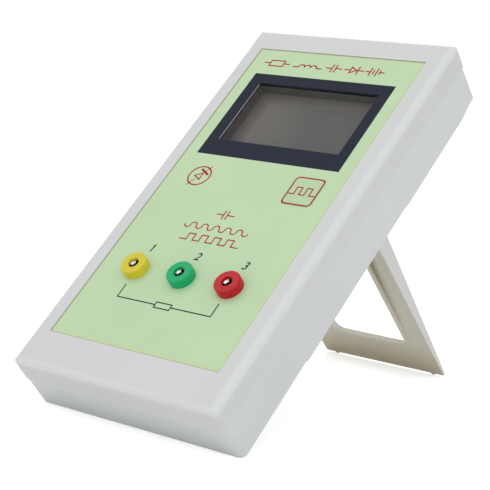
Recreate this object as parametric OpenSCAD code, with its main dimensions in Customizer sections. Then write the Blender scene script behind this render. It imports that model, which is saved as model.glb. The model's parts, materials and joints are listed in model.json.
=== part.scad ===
// Hand-held component tester: a two-shell ABS case with a graphic display, a membrane key,
// three 4 mm sockets, a 9 V battery behind a lift-out door and a wedge-shaped stand.
// Every piece is drawn in the case's own axes: X across, Y up the front, Z out of the front
// face, with Z = 0 on the front face. upright() then leans the whole tester back on its stand.

/* [Case] */
// Length of the case at the parting line
case_l = 178; // [170:1:186]
// Width of the case at the parting line
case_w = 93; // [88:1:100]
// Depth of the front cover, from the front face to the parting line
cover_d = 10; // [9.6:0.1:10.6]
// Thickness of the moulded walls
wall = 2.2; // [1.8:0.1:2.4]
// Flare of the front cover's sides
front_draft = 7.4; // [4:0.2:9]
// Radius of the front edge
front_r = 3; // [2.4:0.1:3.4]
// Radius of the upright corners
corner_r = 4.5; // [3.5:0.1:6]
// Step by which the front cover overhangs the rear one
lip = 0.3; // [0:0.05:0.5]
// Inward slope of the rear cover's long sides
rear_draft_side = 0.9; // [0:0.1:1.5]
// Inward slope of the rear cover's ends
rear_draft_end = 3.2; // [2:0.1:4]
// Depth of the back round the battery door, from the front face
low_back = 25.4; // [25.2:0.1:25.8]
// Depth of the back beside the folded stand
mid_back = 26.15; // [26:0.05:26.4]
// Depth of the raised pad behind the display
high_back = 27.35; // [27:0.05:28]
// Radius of the edge that the tester rests on
rest_r = 1; // [0.6:0.1:1.4]

/* [Front label] */
// Width of the printed label
label_w = 76; // [74:0.5:80]
// Length of the printed label
label_l = 150.2; // [146:0.2:154]
// Thickness of the label
label_t = 0.3; // [0.2:0.05:0.35]
// Depth of the recess that the label lies in
label_recess = 0.6; // [0.5:0.05:0.8]
// Height of the label's centre above the middle of the case
label_y = 1.8; // [1:0.1:2.6]
// Gap between the label and the wall of its recess
label_gap = 0.15; // [0.1:0.05:0.3]

/* [Display] */
// Width of the window in the label
window_w = 55.8; // [52:0.2:58]
// Height of the window in the label
window_h = 31.8; // [28:0.2:34]
// Height of the window's centre above the middle of the case
window_y = 42.2; // [41:0.1:43]
// Thickness of the clear sheet behind the window
sheet_t = 1; // [0.8:0.1:1.2]
// Width of the display's metal frame
frame_w = 68; // [66:0.5:70]
// Height of the display's metal frame
frame_h = 43; // [41:0.5:44]
// Width of the display's circuit board
lcd_board_w = 72; // [71:0.5:74]
// Height of the display's circuit board
lcd_board_h = 55; // [53:0.5:56]

/* [Key and sockets] */
// Width of the test key
key_w = 12.8; // [11:0.1:14]
// Height of the test key
key_h = 13.3; // [11:0.1:14]
// Sideways place of the test key
key_x = 23.9; // [22:0.1:25]
// Height of the test key above the middle of the case
key_y = 6.95; // [6:0.1:8]
// Travel of the test key
key_travel = 0.25; // [0.2:0.05:0.3]
// Distance between neighbouring sockets
socket_pitch = 21.2; // [19:0.1:22]
// Height of the row of sockets above the lower end of the case
socket_y = 49.2; // [48:0.1:50]
// Diameter of the bore that takes the test plug
plug_d = 4; // [3.9:0.05:4.2]
// Diameter of the socket's collar
collar_d = 10; // [9.4:0.1:10.6]
// Height of the socket's collar above the front face
collar_h = 3.2; // [2.8:0.1:4]
// Diameter of the socket's threaded barrel
barrel_d = 8; // [7.6:0.1:8.2]

/* [Stand] */
// Width of the stand
stand_w = 58.3; // [56:0.1:60]
// Length of the stand from its hinge to its foot
stand_l = 105.6; // [102:0.2:107]
// Thickness of the stand at its foot
foot_t = 1.15; // [1:0.05:1.4]
// Width of each leg of the stand
leg_w = 11.4; // [10:0.1:13]
// Width of the bar at the foot
foot_bar = 16.7; // [14:0.1:18]
// Radius of the stand's hinge barrel
hinge_r = 4.3; // [4.2:0.05:4.4]
// Height of the stand's hinge above the lower end of the case
hinge_y = 116.3; // [115.6:0.1:117]
// Angle that the stand opens to
open_angle = 88.5; // [84:0.5:90]
// Radius of the hinge pins
pin_r = 1.6; // [1.4:0.1:1.8]
// Length of the hinge pins
pin_l = 1.5; // [1.2:0.1:1.7]
// Radial play of the hinge pins in the rear cover
pin_play = 0.08; // [0.05:0.01:0.1]
// Height of the small feet under the stand
nub_h = 0.9; // [0.6:0.1:1.2]
// Gap round the folded stand
stand_gap = 0.4; // [0.35:0.05:0.5]

/* [Battery] */
// Length of the battery's body
battery_l = 46.4; // [45:0.1:47]
// Width of the battery
battery_w = 26.5; // [26:0.1:26.8]
// Thickness of the battery
battery_t = 17.4; // [17:0.1:17.6]
// Height of the battery's middle above the lower end of the case
battery_y = 22.7; // [22:0.1:23]
// Width of the battery door
door_w = 58.4; // [57.5:0.1:58.8]
// Thickness of the battery door
door_t = 1.6; // [1.4:0.1:1.7]
// Gap round the battery door
door_gap = 0.3; // [0.2:0.05:0.35]

/* [Circuit board] */
// Width of the main circuit board
board_w = 80; // [78:0.5:81]
// Thickness of the circuit boards
board_t = 1.6; // [1.4:0.1:1.6]
// Depth of the main board's component side behind the front face
board_z = 13.2; // [13.1:0.1:13.4]
// Diameter of the screws that close the case
screw_d = 3; // [2.6:0.1:3.2]

/* [Hidden] */
$fn = 64;
eps = 0.01;
cut = 40;

// Colours
abs_light = "#D0D2D2";
abs_rear = "#C6CACC";
board_green = "#1F5A3A";
nickel = "#C9C9C6";
moulded_black = "#1C1C1E";

// Case outline
half_l = case_l / 2;
half_w = case_w / 2;
face_half_w = half_w - cover_d * tan(front_draft);
face_half_l = half_l - cover_d * tan(front_draft);
rear_half_w = half_w - lip;
rear_half_l = half_l - lip;
tongue_h = 1.6;
tongue_play = 0.15;
back_end_r = 2.5;

// Heights that are measured from the lower end of the case
low_end_y = -half_l;
stand_y = low_end_y + hinge_y;
cell_y = low_end_y + battery_y;
socket_row_y = low_end_y + socket_y;

// Back levels along Y
step_rise = 44.3;
step_y = low_end_y + step_rise;
ramp_start = 0.5;
ramp_l = 5.5;
ramp_low_y = stand_y + ramp_start;
ramp_high_y = ramp_low_y + ramp_l;
pad_top_drop = 14.2;
pad_end_drop = 4.5;
pad_top_y = half_l - pad_top_drop;
pad_end_y = half_l - pad_end_drop;
pad_fall = 0.45;
pad_end_fall = 2.4;

// Stand, in its own folded frame: u runs from the hinge to the foot, v out of the back
hinge_z = -(mid_back + 0.1 - hinge_r);
foot_v = hinge_r - foot_t;
foot_reach = sqrt(stand_l * stand_l + foot_v * foot_v);
barrel_step = 0.05;
inner_r = hinge_r - barrel_step;
taper = atan2(foot_v, stand_l) + asin(inner_r / foot_reach);
bar_u = 14.5;
window_end_u = stand_l - foot_bar;
stand_half = stand_w / 2;
window_half = stand_half - leg_w;
window_r = 4;
nub_r = 1.25;
nub_inset = 0.1;
nub_x = stand_half - 5.2;
stop_gap = 0.15;
rib_w = 1.6;
channel_r = 2;
channel_over = 6;
channel_run = 8;
channel_depth = 1.6;
channel_end_depth = 0.5;

// The tester rests on the rear cover's bottom edge and on the small feet of the stand
rest_edge_y = -(rear_half_l - (low_back - cover_d) * tan(rear_draft_end))
    + rest_r * tan((90 - rear_draft_end) / 2);
rest_edge_z = -(low_back - rest_r);
foot_u = stand_l + nub_h;
nub_v = foot_v + nub_inset;
foot_y = stand_y - foot_u * cos(open_angle) + nub_v * sin(open_angle);
foot_z = hinge_z - foot_u * sin(open_angle) - nub_v * cos(open_angle);
reach_y = foot_y - rest_edge_y;
reach_z = rest_edge_z - foot_z;
reach = sqrt(reach_y * reach_y + reach_z * reach_z);
tilt = atan2(reach_z, reach_y) - asin(rest_r / reach);

// Furthest points of the leaning tester, front and back, which centre it over the origin
nose_y = -(face_half_l - front_r * tan((90 - front_draft) / 2));
near_y = nose_y * cos(tilt) + front_r * sin(tilt) - front_r;
heel_v = hinge_r - nub_inset;
heel_y = stand_y - foot_u * cos(open_angle) + heel_v * sin(open_angle);
heel_z = hinge_z - foot_u * sin(open_angle) - heel_v * cos(open_angle);
far_y = heel_y * cos(tilt) - heel_z * sin(tilt);
origin_y = -(near_y + far_y) / 2;
origin_z = -(foot_y * sin(tilt) + foot_z * cos(tilt));

// Front stack
label_z = -label_recess;
window_lip = 0.4;
sheet_z = label_z - window_lip;
frame_z = sheet_z - sheet_t - 0.1;
well_depth = 5.2;
glass_z = label_z - well_depth;
glass_t = 1.8;
lcd_board_z = -9.8;
frame_wall = 0.8;
glass_gap = 0.15;
seat_gap = 0.4;
ring_depth = 6;
ring_wall = 1.2;
pillar_d = 6;
lcd_pillar_d = 5;
window_step = 0.3;
over = 1;
thread_play = 0.05;
hole_play = 0.1;
small_screw_d = 2.2;
small_head_d = 4.2;
small_head_h = 1.4;
lcd_screw_x = 32.5;
lcd_screw_y = 24.2;

// Main board
board_rise = 40.6;
board_bottom_y = low_end_y + board_rise;
board_shoulder_y = 12;
board_top_y = 22;
board_neck_w = 54;
board_back_z = -(board_z + board_t);
board_screw_x = 36;
board_screw_rise = 4.9;
board_screw_top_y = 8;
board_screws_at = [for (y = [board_bottom_y + board_screw_rise, board_screw_top_y],
    x = [-board_screw_x, board_screw_x]) [x, y]];
header_y = 18.2;
header_pins = 16;
header_pitch = 2.54;
header_play = 0.1;

// Sockets
socket_depth = board_z - 0.9;
contact_d = 5.4;
contact_inset = 1.2;
contact_play = 0.02;
collar_edge_r = 0.9;
contact_floor_t = 1;
plug_play = 0.1;
mouth_depth = 0.5;
barrel_play = 0.1;
nut_play = 0.05;
tail_d = 1.6;
tail_end = 0.8;
nut_h = 2.8;
nut_flats = 11;
socket_xs = [-socket_pitch, 0, socket_pitch];

// Key and switch
key_gap = 0.2;
key_t = 0.55;
key_r = 1.8;
key_rise = 0.1;
key_top = label_z + label_t + key_rise;
key_bottom = key_top - key_t;
plunger_d = 3.4;
plunger_play = 0.1;
plunger_sink = 1;
plunger_seat = 0.2;
key_hole_play = 1;
key_well_play = 0.15;
switch_size = 6;
switch_h = 3.6;
switch_corner_r = 0.4;
switch_root = 0.2;

// Case screws
screw_edge_x = 8;
screw_edge_y = 10.6;
screw_x = half_w - screw_edge_x;
screw_y = half_l - screw_edge_y;
boss_d = 9;
boss_step = 0.8;
boss_floor = 1;
screw_head_d = 5.4;
screw_head_h = 2;
screw_recess_d = 6.4;
screw_seat_z = -(cover_d + 6);
screw_reach = 12;
screw_play = 0.2;
screw_places = [for (x = [-screw_x, screw_x], y = [-screw_y, screw_y]) [x, y]];

// Battery bay and door
bay_play = 0.75;
bay_wall = 1.4;
bay_top_y = cell_y + battery_w / 2 + bay_play;
bay_bottom_y = cell_y - battery_w / 2 - bay_play;
battery_front_z = -3.6;
battery_r = 1.6;
bay_floor_z = battery_front_z + 0.2;
terminal_h = 2.2;
terminal_pitch = 12.7;
terminal_d = 5.6;
socket_terminal_d = terminal_d + 2;
snap_t = 2.8;
snap_l = 25.2;
snap_w = 12;
snap_r = 4;
snap_gap = 0.1;
snap_wall = 1;
snap_play = 0.15;
snap_room = 3;
end_play = 0.7;
bay_half_w = (end_play + battery_l + terminal_h + snap_gap + snap_t + snap_room) / 2;
battery_x0 = end_play - bay_half_w;
door_top_rise = 42.8;
door_bottom_rise = 7;
door_top_y = low_end_y + door_top_rise;
door_bottom_y = low_end_y + door_bottom_rise;
door_hinge_y = door_bottom_y + door_t / 2;
door_hinge_z = -(low_back - door_t / 2);
door_pin_r = 0.65;
door_pin_l = 1.3;
latch_drop = 2.6;
latch_y = door_top_y - latch_drop;
latch_t = 1;
latch_w = 14;
latch_h = 3;
latch_swing = 0.8;
door_ledge = 1.4;
island_gap = 0.5;
battery_z = battery_front_z - battery_t / 2;
snap_x = battery_x0 + battery_l + terminal_h + snap_gap;
lead_d = 1.3;
lead_x = snap_x + snap_t / 2;
lead_spread = 0.8;
lead_end_rise = 2.4;
lead_end_y = board_bottom_y + lead_end_rise;
lead_slot_w = 6;
lead_slot_depth = 15;
lead_slot_rise = 1;
island_half = window_half - island_gap;
pad_start = 2;
pad_l = 10;
pad_w = 36;
pad_gap = 0.3;
grip_w = 20;
grip_t = 1;
grip_pitch = 2.4;
grip_count = 5;
grip_start = 2.6;
grip_depth = 0.5;

// Stand pocket
// Inner face of the folded stand, moved out by g, as a height v at a distance u
function inner_v(u, g) = u * tan(taper) - (inner_r + g) / cos(taper);

// Floor of the pocket under the folded stand, as a depth at the height y
function floor_z(y) = hinge_z - inner_v(stand_y - y, stand_gap);

bar_sweep = sqrt(bar_u * bar_u + pow(inner_v(bar_u, 0), 2)) + stand_gap;
pocket_end_u = stand_l + nub_h + stand_gap;
island_top_y = stand_y - bar_sweep;
island_bottom_y = stand_y - (window_end_u - stand_gap);

// Small parts on the boards
lcd_screws_at = [for (x = [-lcd_screw_x, lcd_screw_x], y = [-lcd_screw_y, lcd_screw_y])
    [x, window_y + y]];
pin_d = 0.7;
pin_hole_d = 0.9;
lead_wire_d = 0.6;
solder_h = 0.6;
switch_pin_x = 2.4;
switch_pin_y = 2.25;
switch_pins_at = [for (x = [-switch_pin_x, switch_pin_x], y = [-switch_pin_y, switch_pin_y])
    [key_x + x, key_y + y]];
header_places = [for (i = [0:header_pins - 1])
    [(i - (header_pins - 1) / 2) * header_pitch, header_y]];
chip_x = -8;
chip_rise = 31.8;
chip_y = socket_row_y + chip_rise;
chip_pins = 28;
chip_rows = 7.62;
chip_pitch = 2.54;
chip_socket_h = 4.2;
chip_socket_rim = 1.3;
chip_socket_bar = 1.4;
chip_socket_end = 3;
chip_t = 3.3;
chip_lift = 0.5;
chip_leg_w = 1.2;
chip_leg_t = 0.4;
chip_short = 1;
chip_mark_r = 1;
chip_places = [for (i = [0:chip_pins / 2 - 1], s = [-1, 1])
    [chip_x + (i - (chip_pins / 2 - 1) / 2) * chip_pitch, chip_y + s * chip_rows / 2]];
crystal_rise = 12;
crystal_at = [chip_x, chip_y + crystal_rise];
crystal_leads = 4.9;
crystal_l = 10.8;
crystal_w = 4.4;
crystal_h = 3.7;
crystal_flange = 0.3;
crystal_flange_t = 0.5;
part_lift = 0.3;
regulator_x = 22;
regulator_rise = 17.8;
regulator_at = [regulator_x, socket_row_y + regulator_rise];
regulator_d = 4.8;
regulator_h = 4.6;
regulator_flat = 1.3;
regulator_lift = 2.6;
regulator_pitch = 1.27;
capacitor_right_x = 30;
capacitor_left_x = -33;
capacitor_pitch = 10;
capacitors_at = [[capacitor_right_x, chip_y], [capacitor_right_x, chip_y - capacitor_pitch],
    [capacitor_left_x, chip_y]];
capacitor_d = 6.3;
capacitor_h = 7.4;
capacitor_leads = 2.5;
capacitor_groove_r = 0.5;
capacitor_groove_at = 1.2;
capacitor_groove_depth = 0.25;
resistor_count = 8;
resistor_pitch = 4.2;
resistor_x0 = -26;
resistor_rise = 15.8;
resistor_y = socket_row_y + resistor_rise;
resistors_at = [for (i = [0:resistor_count - 1]) [resistor_x0 + resistor_pitch * i, resistor_y]];
resistor_span = 10.16;
resistor_l = 6;
resistor_r = 1.15;
resistor_waist = 0.2;
resistor_cap_l = 1.4;
resistor_lift = 1.4;
small_leads = concat(
    [for (s = [-1, 1]) crystal_at + [s * crystal_leads / 2, 0]],
    [for (i = [-1:1]) regulator_at + [i * regulator_pitch, 0]],
    [for (p = capacitors_at, s = [-1, 1]) p + [s * capacitor_leads / 2, 0]],
    [for (p = resistors_at, s = [-1, 1]) p + [0, s * resistor_span / 2]]);

// ---------------------------------------------------------------- helpers

module upright() {
    translate([0, origin_y, origin_z]) rotate([tilt, 0, 0]) children();
}

module along_y(l) {
    rotate([90, 0, 0]) linear_extrude(l, center = true) children();
}

module along_x(l) {
    rotate([90, 0, 90]) linear_extrude(l, center = true) children();
}

module rounded_plan(w, l, r) {
    square([w - 2 * r, l], center = true);
    square([w, l - 2 * r], center = true);
    for (x = [-1, 1], y = [-1, 1])
        translate([x * (w / 2 - r), y * (l / 2 - r)]) circle(r);
}

module plate(w, l, t, r = 0.6) {
    linear_extrude(t) rounded_plan(w, l, r);
}

// Section that widens away from its top line, with its two top corners rounded
module flared_section(half, depth, draft, r_left, r_right) {
    spread = depth * tan(draft);
    function inset(r) = r * tan((90 - draft) / 2);
    function lift(r) = r * (1 - sin(draft));
    polygon([
        [-(half - inset(r_left)), 0],
        [half - inset(r_right), 0],
        [half - inset(r_right) + r_right * cos(draft), -lift(r_right)],
        [half + spread, -depth],
        [-(half + spread), -depth],
        [-(half - inset(r_left) + r_left * cos(draft)), -lift(r_left)]
    ]);
    translate([-(half - inset(r_left)), -r_left]) circle(r_left);
    translate([half - inset(r_right), -r_right]) circle(r_right);
}

// ---------------------------------------------------------------- case

module front_block(inset, top, below = 0) {
    r = max(front_r - inset, 0.6);
    grow = top * tan(front_draft) - inset;
    translate([0, 0, -top]) intersection() {
        along_y(2 * case_l)
            flared_section(face_half_w + grow, cover_d - top + below, front_draft, r, r);
        along_x(2 * case_w)
            flared_section(face_half_l + grow, cover_d - top + below, front_draft, r, r);
        linear_extrude(2 * cut, center = true)
            rounded_plan(case_w - 2 * inset, case_l - 2 * inset, corner_r - inset);
    }
}

module rear_side_section(inset, above) {
    depth = high_back - inset - cover_d;
    translate([0, -cover_d]) mirror([0, 1]) translate([0, depth])
        flared_section(rear_half_w - inset - depth * tan(rear_draft_side), depth + above,
            rear_draft_side, rest_r, rest_r);
}

module rear_length_section(inset, above) {
    depth = low_back - inset - cover_d;
    translate([0, -cover_d]) mirror([0, 1]) translate([0, depth])
        flared_section(rear_half_l - inset - depth * tan(rear_draft_end), depth + above,
            rear_draft_end, rest_r, back_end_r);
    polygon([
        [step_y, -cover_d + above],
        [step_y, -(mid_back - inset)],
        [ramp_low_y, -(mid_back - inset)],
        [ramp_high_y, -(high_back - inset)],
        [pad_top_y, -(high_back - pad_fall - inset)],
        [pad_end_y - inset, -(high_back - pad_end_fall - inset)],
        [pad_end_y - inset, -cover_d + above]
    ]);
}

module rear_block(inset, above = 0) {
    intersection() {
        along_y(2 * case_l) rear_side_section(inset, above);
        along_x(2 * case_w) rear_length_section(inset, above);
        linear_extrude(2 * cut, center = true)
            rounded_plan(case_w - 2 * (lip + inset), case_l - 2 * (lip + inset),
                corner_r - inset);
    }
}

// Ring that rises from the rear cover into a groove of the front one
module tongue_ring(outer, inner, h) {
    difference() {
        plate(case_w - 2 * outer, case_l - 2 * outer, h, corner_r - outer);
        translate([0, 0, -over])
            plate(case_w - 2 * inner, case_l - 2 * inner, h + 2 * over, corner_r - inner);
    }
}

module posts(places, d, from_z, to_z) {
    for (p = places)
        translate([p[0], p[1], from_z]) cylinder(d = d, h = to_z - from_z);
}

module front_cover() {
    color(abs_light) upright() difference() {
        union() {
            difference() {
                front_block(0, 0);
                front_block(wall, wall, 1);
                translate([0, 0, -cover_d - 1]) tongue_cavity();
            }
            // Ring behind the window, round the display's frame
            translate([0, window_y, -ring_depth])
                plate(frame_w + 2 * (seat_gap + ring_wall), frame_h + 2 * (seat_gap + ring_wall),
                    ring_depth - wall, ring_wall);
            posts(screw_places, boss_d - boss_step, -cover_d, -wall);
            posts(board_screws_at, pillar_d, -board_z, -wall);
            posts(lcd_screws_at, lcd_pillar_d, lcd_board_z, -wall);
        }
        translate([0, label_y, label_z]) linear_extrude(cut)
            square([label_w + 2 * label_gap, label_l + 2 * label_gap], center = true);
        // Window with a thin lip, and the seat of the clear sheet behind it
        translate([0, window_y, sheet_z - over]) linear_extrude(cut)
            square([window_w + 2 * window_step, window_h + 2 * window_step], center = true);
        translate([0, window_y, -2 * ring_depth]) linear_extrude(sheet_z + 2 * ring_depth)
            square([frame_w + 2 * seat_gap, frame_h + 2 * seat_gap], center = true);
        // Shallow well that the key sinks into
        translate([key_x, key_y, key_bottom - key_travel - key_well_play])
            plate(key_w + 2 * key_gap, key_h + 2 * key_gap, cut, key_r + key_gap);
        translate([key_x, key_y, -wall - over])
            cylinder(d = plunger_d + 2 * key_hole_play, h = wall + 2 * over);
        for (x = socket_xs)
            translate([x, socket_row_y, -wall - over])
                cylinder(d = barrel_d + 2 * barrel_play, h = wall + 2 * over);
        posts(screw_places, screw_d + 2 * thread_play, screw_seat_z, -wall);
        posts(board_screws_at, small_screw_d + 2 * thread_play, -board_z - over, -wall);
        posts(lcd_screws_at, small_screw_d + 2 * thread_play, lcd_board_z - over, -wall);
    }
}

// Groove that the rear cover's tongue enters
module tongue_cavity() {
    tongue_ring(lip + 1.1 - tongue_play, wall + 1, tongue_h + tongue_play + 1);
}

// ---------------------------------------------------------------- stand pocket

// Raised ground that the stand's window leaves free when it is folded
module island(grow) {
    translate([0, (island_top_y + island_bottom_y) / 2, 0])
        linear_extrude(4 * cut, center = true)
            rounded_plan(2 * (island_half + grow),
                island_top_y - island_bottom_y + 2 * grow, window_r + grow);
}

// Space of the folded stand, or with extra > 0 the shell that walls it off inside
module stand_pocket(extra) {
    difference() {
        translate([0, stand_y, hinge_z]) along_x(2 * (stand_half + stand_gap + extra)) {
            polygon([
                [0, -inner_v(0, stand_gap + extra)],
                [-pocket_end_u - extra, -inner_v(pocket_end_u + extra, stand_gap + extra)],
                [-pocket_end_u - extra, -cut],
                [hinge_r + stop_gap + extra, -cut],
                [hinge_r + stop_gap + extra, 0],
                [0, 0]
            ]);
            circle(hinge_r + stop_gap + extra);
        }
        island(-extra);
    }
}

// ---------------------------------------------------------------- battery bay and door

// Space of the door, with its inner side grown by extra
module door_space(grow, extra) {
    along_x(door_w + 2 * grow) {
        polygon([
            [door_hinge_y, -cut],
            [door_hinge_y, floor_z(door_hinge_y) + door_t + extra],
            [door_top_y + grow, floor_z(door_top_y) + door_t + extra],
            [door_top_y + grow, -cut]
        ]);
        translate([door_hinge_y, door_hinge_z]) circle(door_t / 2 + extra);
        translate([door_hinge_y - door_t / 2 - extra, -cut])
            square([2, cut + door_hinge_z]);
    }
}

module bay(grow, top) {
    translate([-bay_half_w - grow, bay_bottom_y - grow, -cut])
        cube([2 * (bay_half_w + grow), bay_top_y - bay_bottom_y + 2 * grow, cut + top]);
}

module latch_slot(grow) {
    translate([-latch_w / 2 - door_gap - grow, latch_y - latch_t / 2 - door_gap - grow,
        door_hinge_z])
        cube([latch_w + 2 * (door_gap + grow),
            latch_t + door_gap + latch_swing + 2 * grow, latch_h + 6 + grow]);
}

module rear_cover() {
    color(abs_rear) upright() difference() {
        union() {
            difference() {
                rear_block(0);
                difference() {
                    rear_block(wall, 1);
                    stand_pocket(wall - stand_gap);
                    door_space(door_gap + wall, door_gap + door_ledge);
                }
            }
            translate([0, 0, -cover_d]) tongue_ring(lip + 1.1, wall, tongue_h);
            // Walls of the battery bay, up to just behind the front cover
            intersection() {
                bay(bay_wall, bay_floor_z + 1);
                translate([-half_w, -half_l, -low_back + wall])
                    cube([case_w, case_l, low_back]);
            }
            posts(screw_places, boss_d, -(low_back - boss_floor), -cover_d - 0.1);
        }
        stand_pocket(0);
        door_space(door_gap, door_gap);
        bay(0, bay_floor_z);
        latch_slot(0);
        // Bores of the stand's pins and of the door's pins
        translate([0, stand_y, hinge_z]) rotate([0, 90, 0])
            cylinder(r = pin_r + pin_play, h = 2 * (stand_half + pin_l + 0.2), center = true);
        translate([0, door_hinge_y, door_hinge_z]) rotate([0, 90, 0])
            cylinder(r = door_pin_r + pin_play, h = door_w + 2 * (door_pin_l + 0.2),
                center = true);
        // Way of the battery leads
        translate([lead_x - lead_slot_w / 2, bay_top_y - over, -lead_slot_depth])
            cube([lead_slot_w, bay_wall + 2 * over,
                lead_slot_depth + battery_z + lead_d + lead_slot_rise]);
        posts(screw_places, screw_d + 2 * screw_play, -cut, -cover_d + over);
        posts(screw_places, screw_recess_d, -cut, screw_seat_z);
    }
}

module battery_door() {
    color(abs_rear) upright() {
        difference() {
            union() {
                along_x(door_w) {
                    polygon([
                        [door_hinge_y, -low_back],
                        [stand_y - pocket_end_u, -low_back],
                        [stand_y - pocket_end_u, floor_z(stand_y - pocket_end_u)],
                        [door_top_y, floor_z(door_top_y)],
                        [door_top_y, floor_z(door_top_y) + door_t],
                        [door_hinge_y, door_hinge_z + door_t / 2]
                    ]);
                    translate([door_hinge_y, door_hinge_z]) circle(door_t / 2);
                }
                intersection() {
                    island(0);
                    along_x(door_w) polygon([
                        [island_bottom_y, -low_back],
                        [door_top_y, -low_back],
                        [door_top_y, floor_z(door_top_y) + eps],
                        [island_bottom_y, floor_z(island_bottom_y) + eps]
                    ]);
                }
                translate([-latch_w / 2, latch_y - latch_t / 2, floor_z(latch_y) + door_t / 2])
                    cube([latch_w, latch_t, door_t / 2 + latch_h]);
                translate([0, door_hinge_y, door_hinge_z]) rotate([0, 90, 0])
                    cylinder(r = door_pin_r, h = door_w + 2 * door_pin_l, center = true);
            }
            // Finger grooves across the raised part
            for (i = [0:grip_count - 1])
                translate([-grip_w / 2, island_bottom_y + grip_start + grip_pitch * i,
                    -low_back - over])
                    cube([grip_w, grip_t, over + grip_depth]);
        }
    }
}

// ---------------------------------------------------------------- stand

module stand_section() {
    polygon([
        [-inner_r * sin(taper), inner_r * cos(taper)],
        [-stand_l, -foot_v],
        [-stand_l, -hinge_r],
        [0, -hinge_r]
    ]);
    circle(hinge_r);
}

module kickstand() {
    color("#C4C2B8") upright()
        translate([0, stand_y, hinge_z]) rotate([open_angle, 0, 0]) difference() {
            union() {
                along_x(stand_w) stand_section();
                rotate([0, 90, 0])
                    cylinder(r = pin_r, h = stand_w + 2 * pin_l, center = true);
                for (x = [-nub_x, nub_x])
                    translate([x, -(stand_l + nub_h - nub_r), -hinge_r + nub_inset])
                        cylinder(r = nub_r, h = foot_t - 2 * nub_inset);
            }
            // Window between the legs
            translate([0, -(bar_u + window_end_u) / 2, 0])
                linear_extrude(2 * cut, center = true)
                    rounded_plan(2 * window_half, window_end_u - bar_u, window_r);
            // Channel along each leg's inner face
            for (s = [-1, 1])
                translate([s * (window_half + leg_w / 2), 0, 0]) leg_channel();
        }
}

// Shallow channel that leaves a rib on both sides of a leg
module leg_channel() {
    channel_l = window_end_u - bar_u + channel_over;
    channel_u = bar_u - channel_run;
    channel_end_u = bar_u + channel_l + channel_r;
    intersection() {
        translate([0, -bar_u - channel_l / 2, 0])
            linear_extrude(2 * cut, center = true)
                rounded_plan(leg_w - 2 * rib_w, channel_l, channel_r);
        along_x(leg_w) polygon([
            [-channel_u, -inner_v(channel_u, -channel_depth)],
            [-channel_end_u, -inner_v(channel_end_u, -channel_end_depth)],
            [-channel_end_u, cut],
            [-channel_u, cut]
        ]);
    }
}

// ---------------------------------------------------------------- front label and key

module front_label() {
    color("#C1DBB0") upright() difference() {
        translate([0, label_y, label_z]) linear_extrude(label_t)
            square([label_w, label_l], center = true);
        translate([0, window_y, label_z - 1]) linear_extrude(3)
            square([window_w, window_h], center = true);
        translate([key_x, key_y, label_z - 1])
            plate(key_w + 2 * key_gap, key_h + 2 * key_gap, 3, key_r + key_gap);
        for (x = socket_xs)
            translate([x, socket_row_y, label_z - 1]) cylinder(d = barrel_d + 0.2, h = 3);
    }
}

module test_key() {
    color("#B9CFAC") upright()
        translate([key_x, key_y, key_bottom]) plate(key_w, key_h, key_t, key_r);
}

module key_plunger() {
    foot_z = -board_z + switch_h - plunger_sink;
    color("#E4E2D8") upright()
        translate([key_x, key_y, foot_z]) cylinder(d = plunger_d, h = key_bottom - foot_z);
}

module switch_body() {
    color(moulded_black) upright() translate([key_x, key_y, -board_z]) {
        difference() {
            plate(switch_size, switch_size, switch_h, switch_corner_r);
            translate([0, 0, switch_h - plunger_sink - key_travel - plunger_seat])
                cylinder(d = plunger_d + 2 * plunger_play, h = switch_h);
        }
    }
    color(moulded_black) upright()
        posts(switch_pins_at, pin_d, board_back_z - solder_h, -board_z + switch_root);
}

// ---------------------------------------------------------------- display

module display_window() {
    color([0.8, 0.85, 0.85, 0.4]) upright()
        translate([0, window_y, sheet_z - sheet_t])
            plate(frame_w, frame_h, sheet_t, 0.8);
}

module display_frame() {
    color(moulded_black) upright() translate([0, window_y, 0]) difference() {
        translate([0, 0, lcd_board_z]) plate(frame_w, frame_h, frame_z - lcd_board_z, 0.8);
        translate([0, 0, lcd_board_z - 1]) linear_extrude(cut)
            square([window_w + 0.4, window_h + 0.4], center = true);
        translate([0, 0, lcd_board_z - 1]) linear_extrude(glass_z - lcd_board_z + 1)
            square([frame_w - 2 * frame_wall, frame_h - 2 * frame_wall], center = true);
    }
}

module display_glass() {
    color("#6E6C68") upright()
        translate([0, window_y, glass_z - glass_t])
            plate(frame_w - 2 * (frame_wall + glass_gap), frame_h - 2 * (frame_wall + glass_gap),
                glass_t, 0.3);
}

module display_backlight() {
    h = glass_z - glass_t - lcd_board_z;
    color("#E8E6DE") upright() translate([0, window_y, lcd_board_z])
        plate(frame_w - 2 * (frame_wall + glass_gap), frame_h - 2 * (frame_wall + glass_gap),
            h, 0.3);
}

module display_board() {
    color(board_green) upright() difference() {
        translate([0, window_y, lcd_board_z - board_t])
            plate(lcd_board_w, lcd_board_h, board_t, 1);
        posts(lcd_screws_at, small_screw_d + 2 * hole_play, lcd_board_z - board_t - over,
            lcd_board_z + over);
        posts(header_places, pin_hole_d, lcd_board_z - board_t - over, lcd_board_z + over);
    }
}

module display_header() {
    color(moulded_black) upright() {
        translate([0, header_y, -board_z])
            linear_extrude(board_z + lcd_board_z - board_t)
                square([header_pins * header_pitch, header_pitch - header_play], center = true);
        posts(header_places, pin_d, board_back_z - solder_h, lcd_board_z + solder_h);
    }
}

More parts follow.
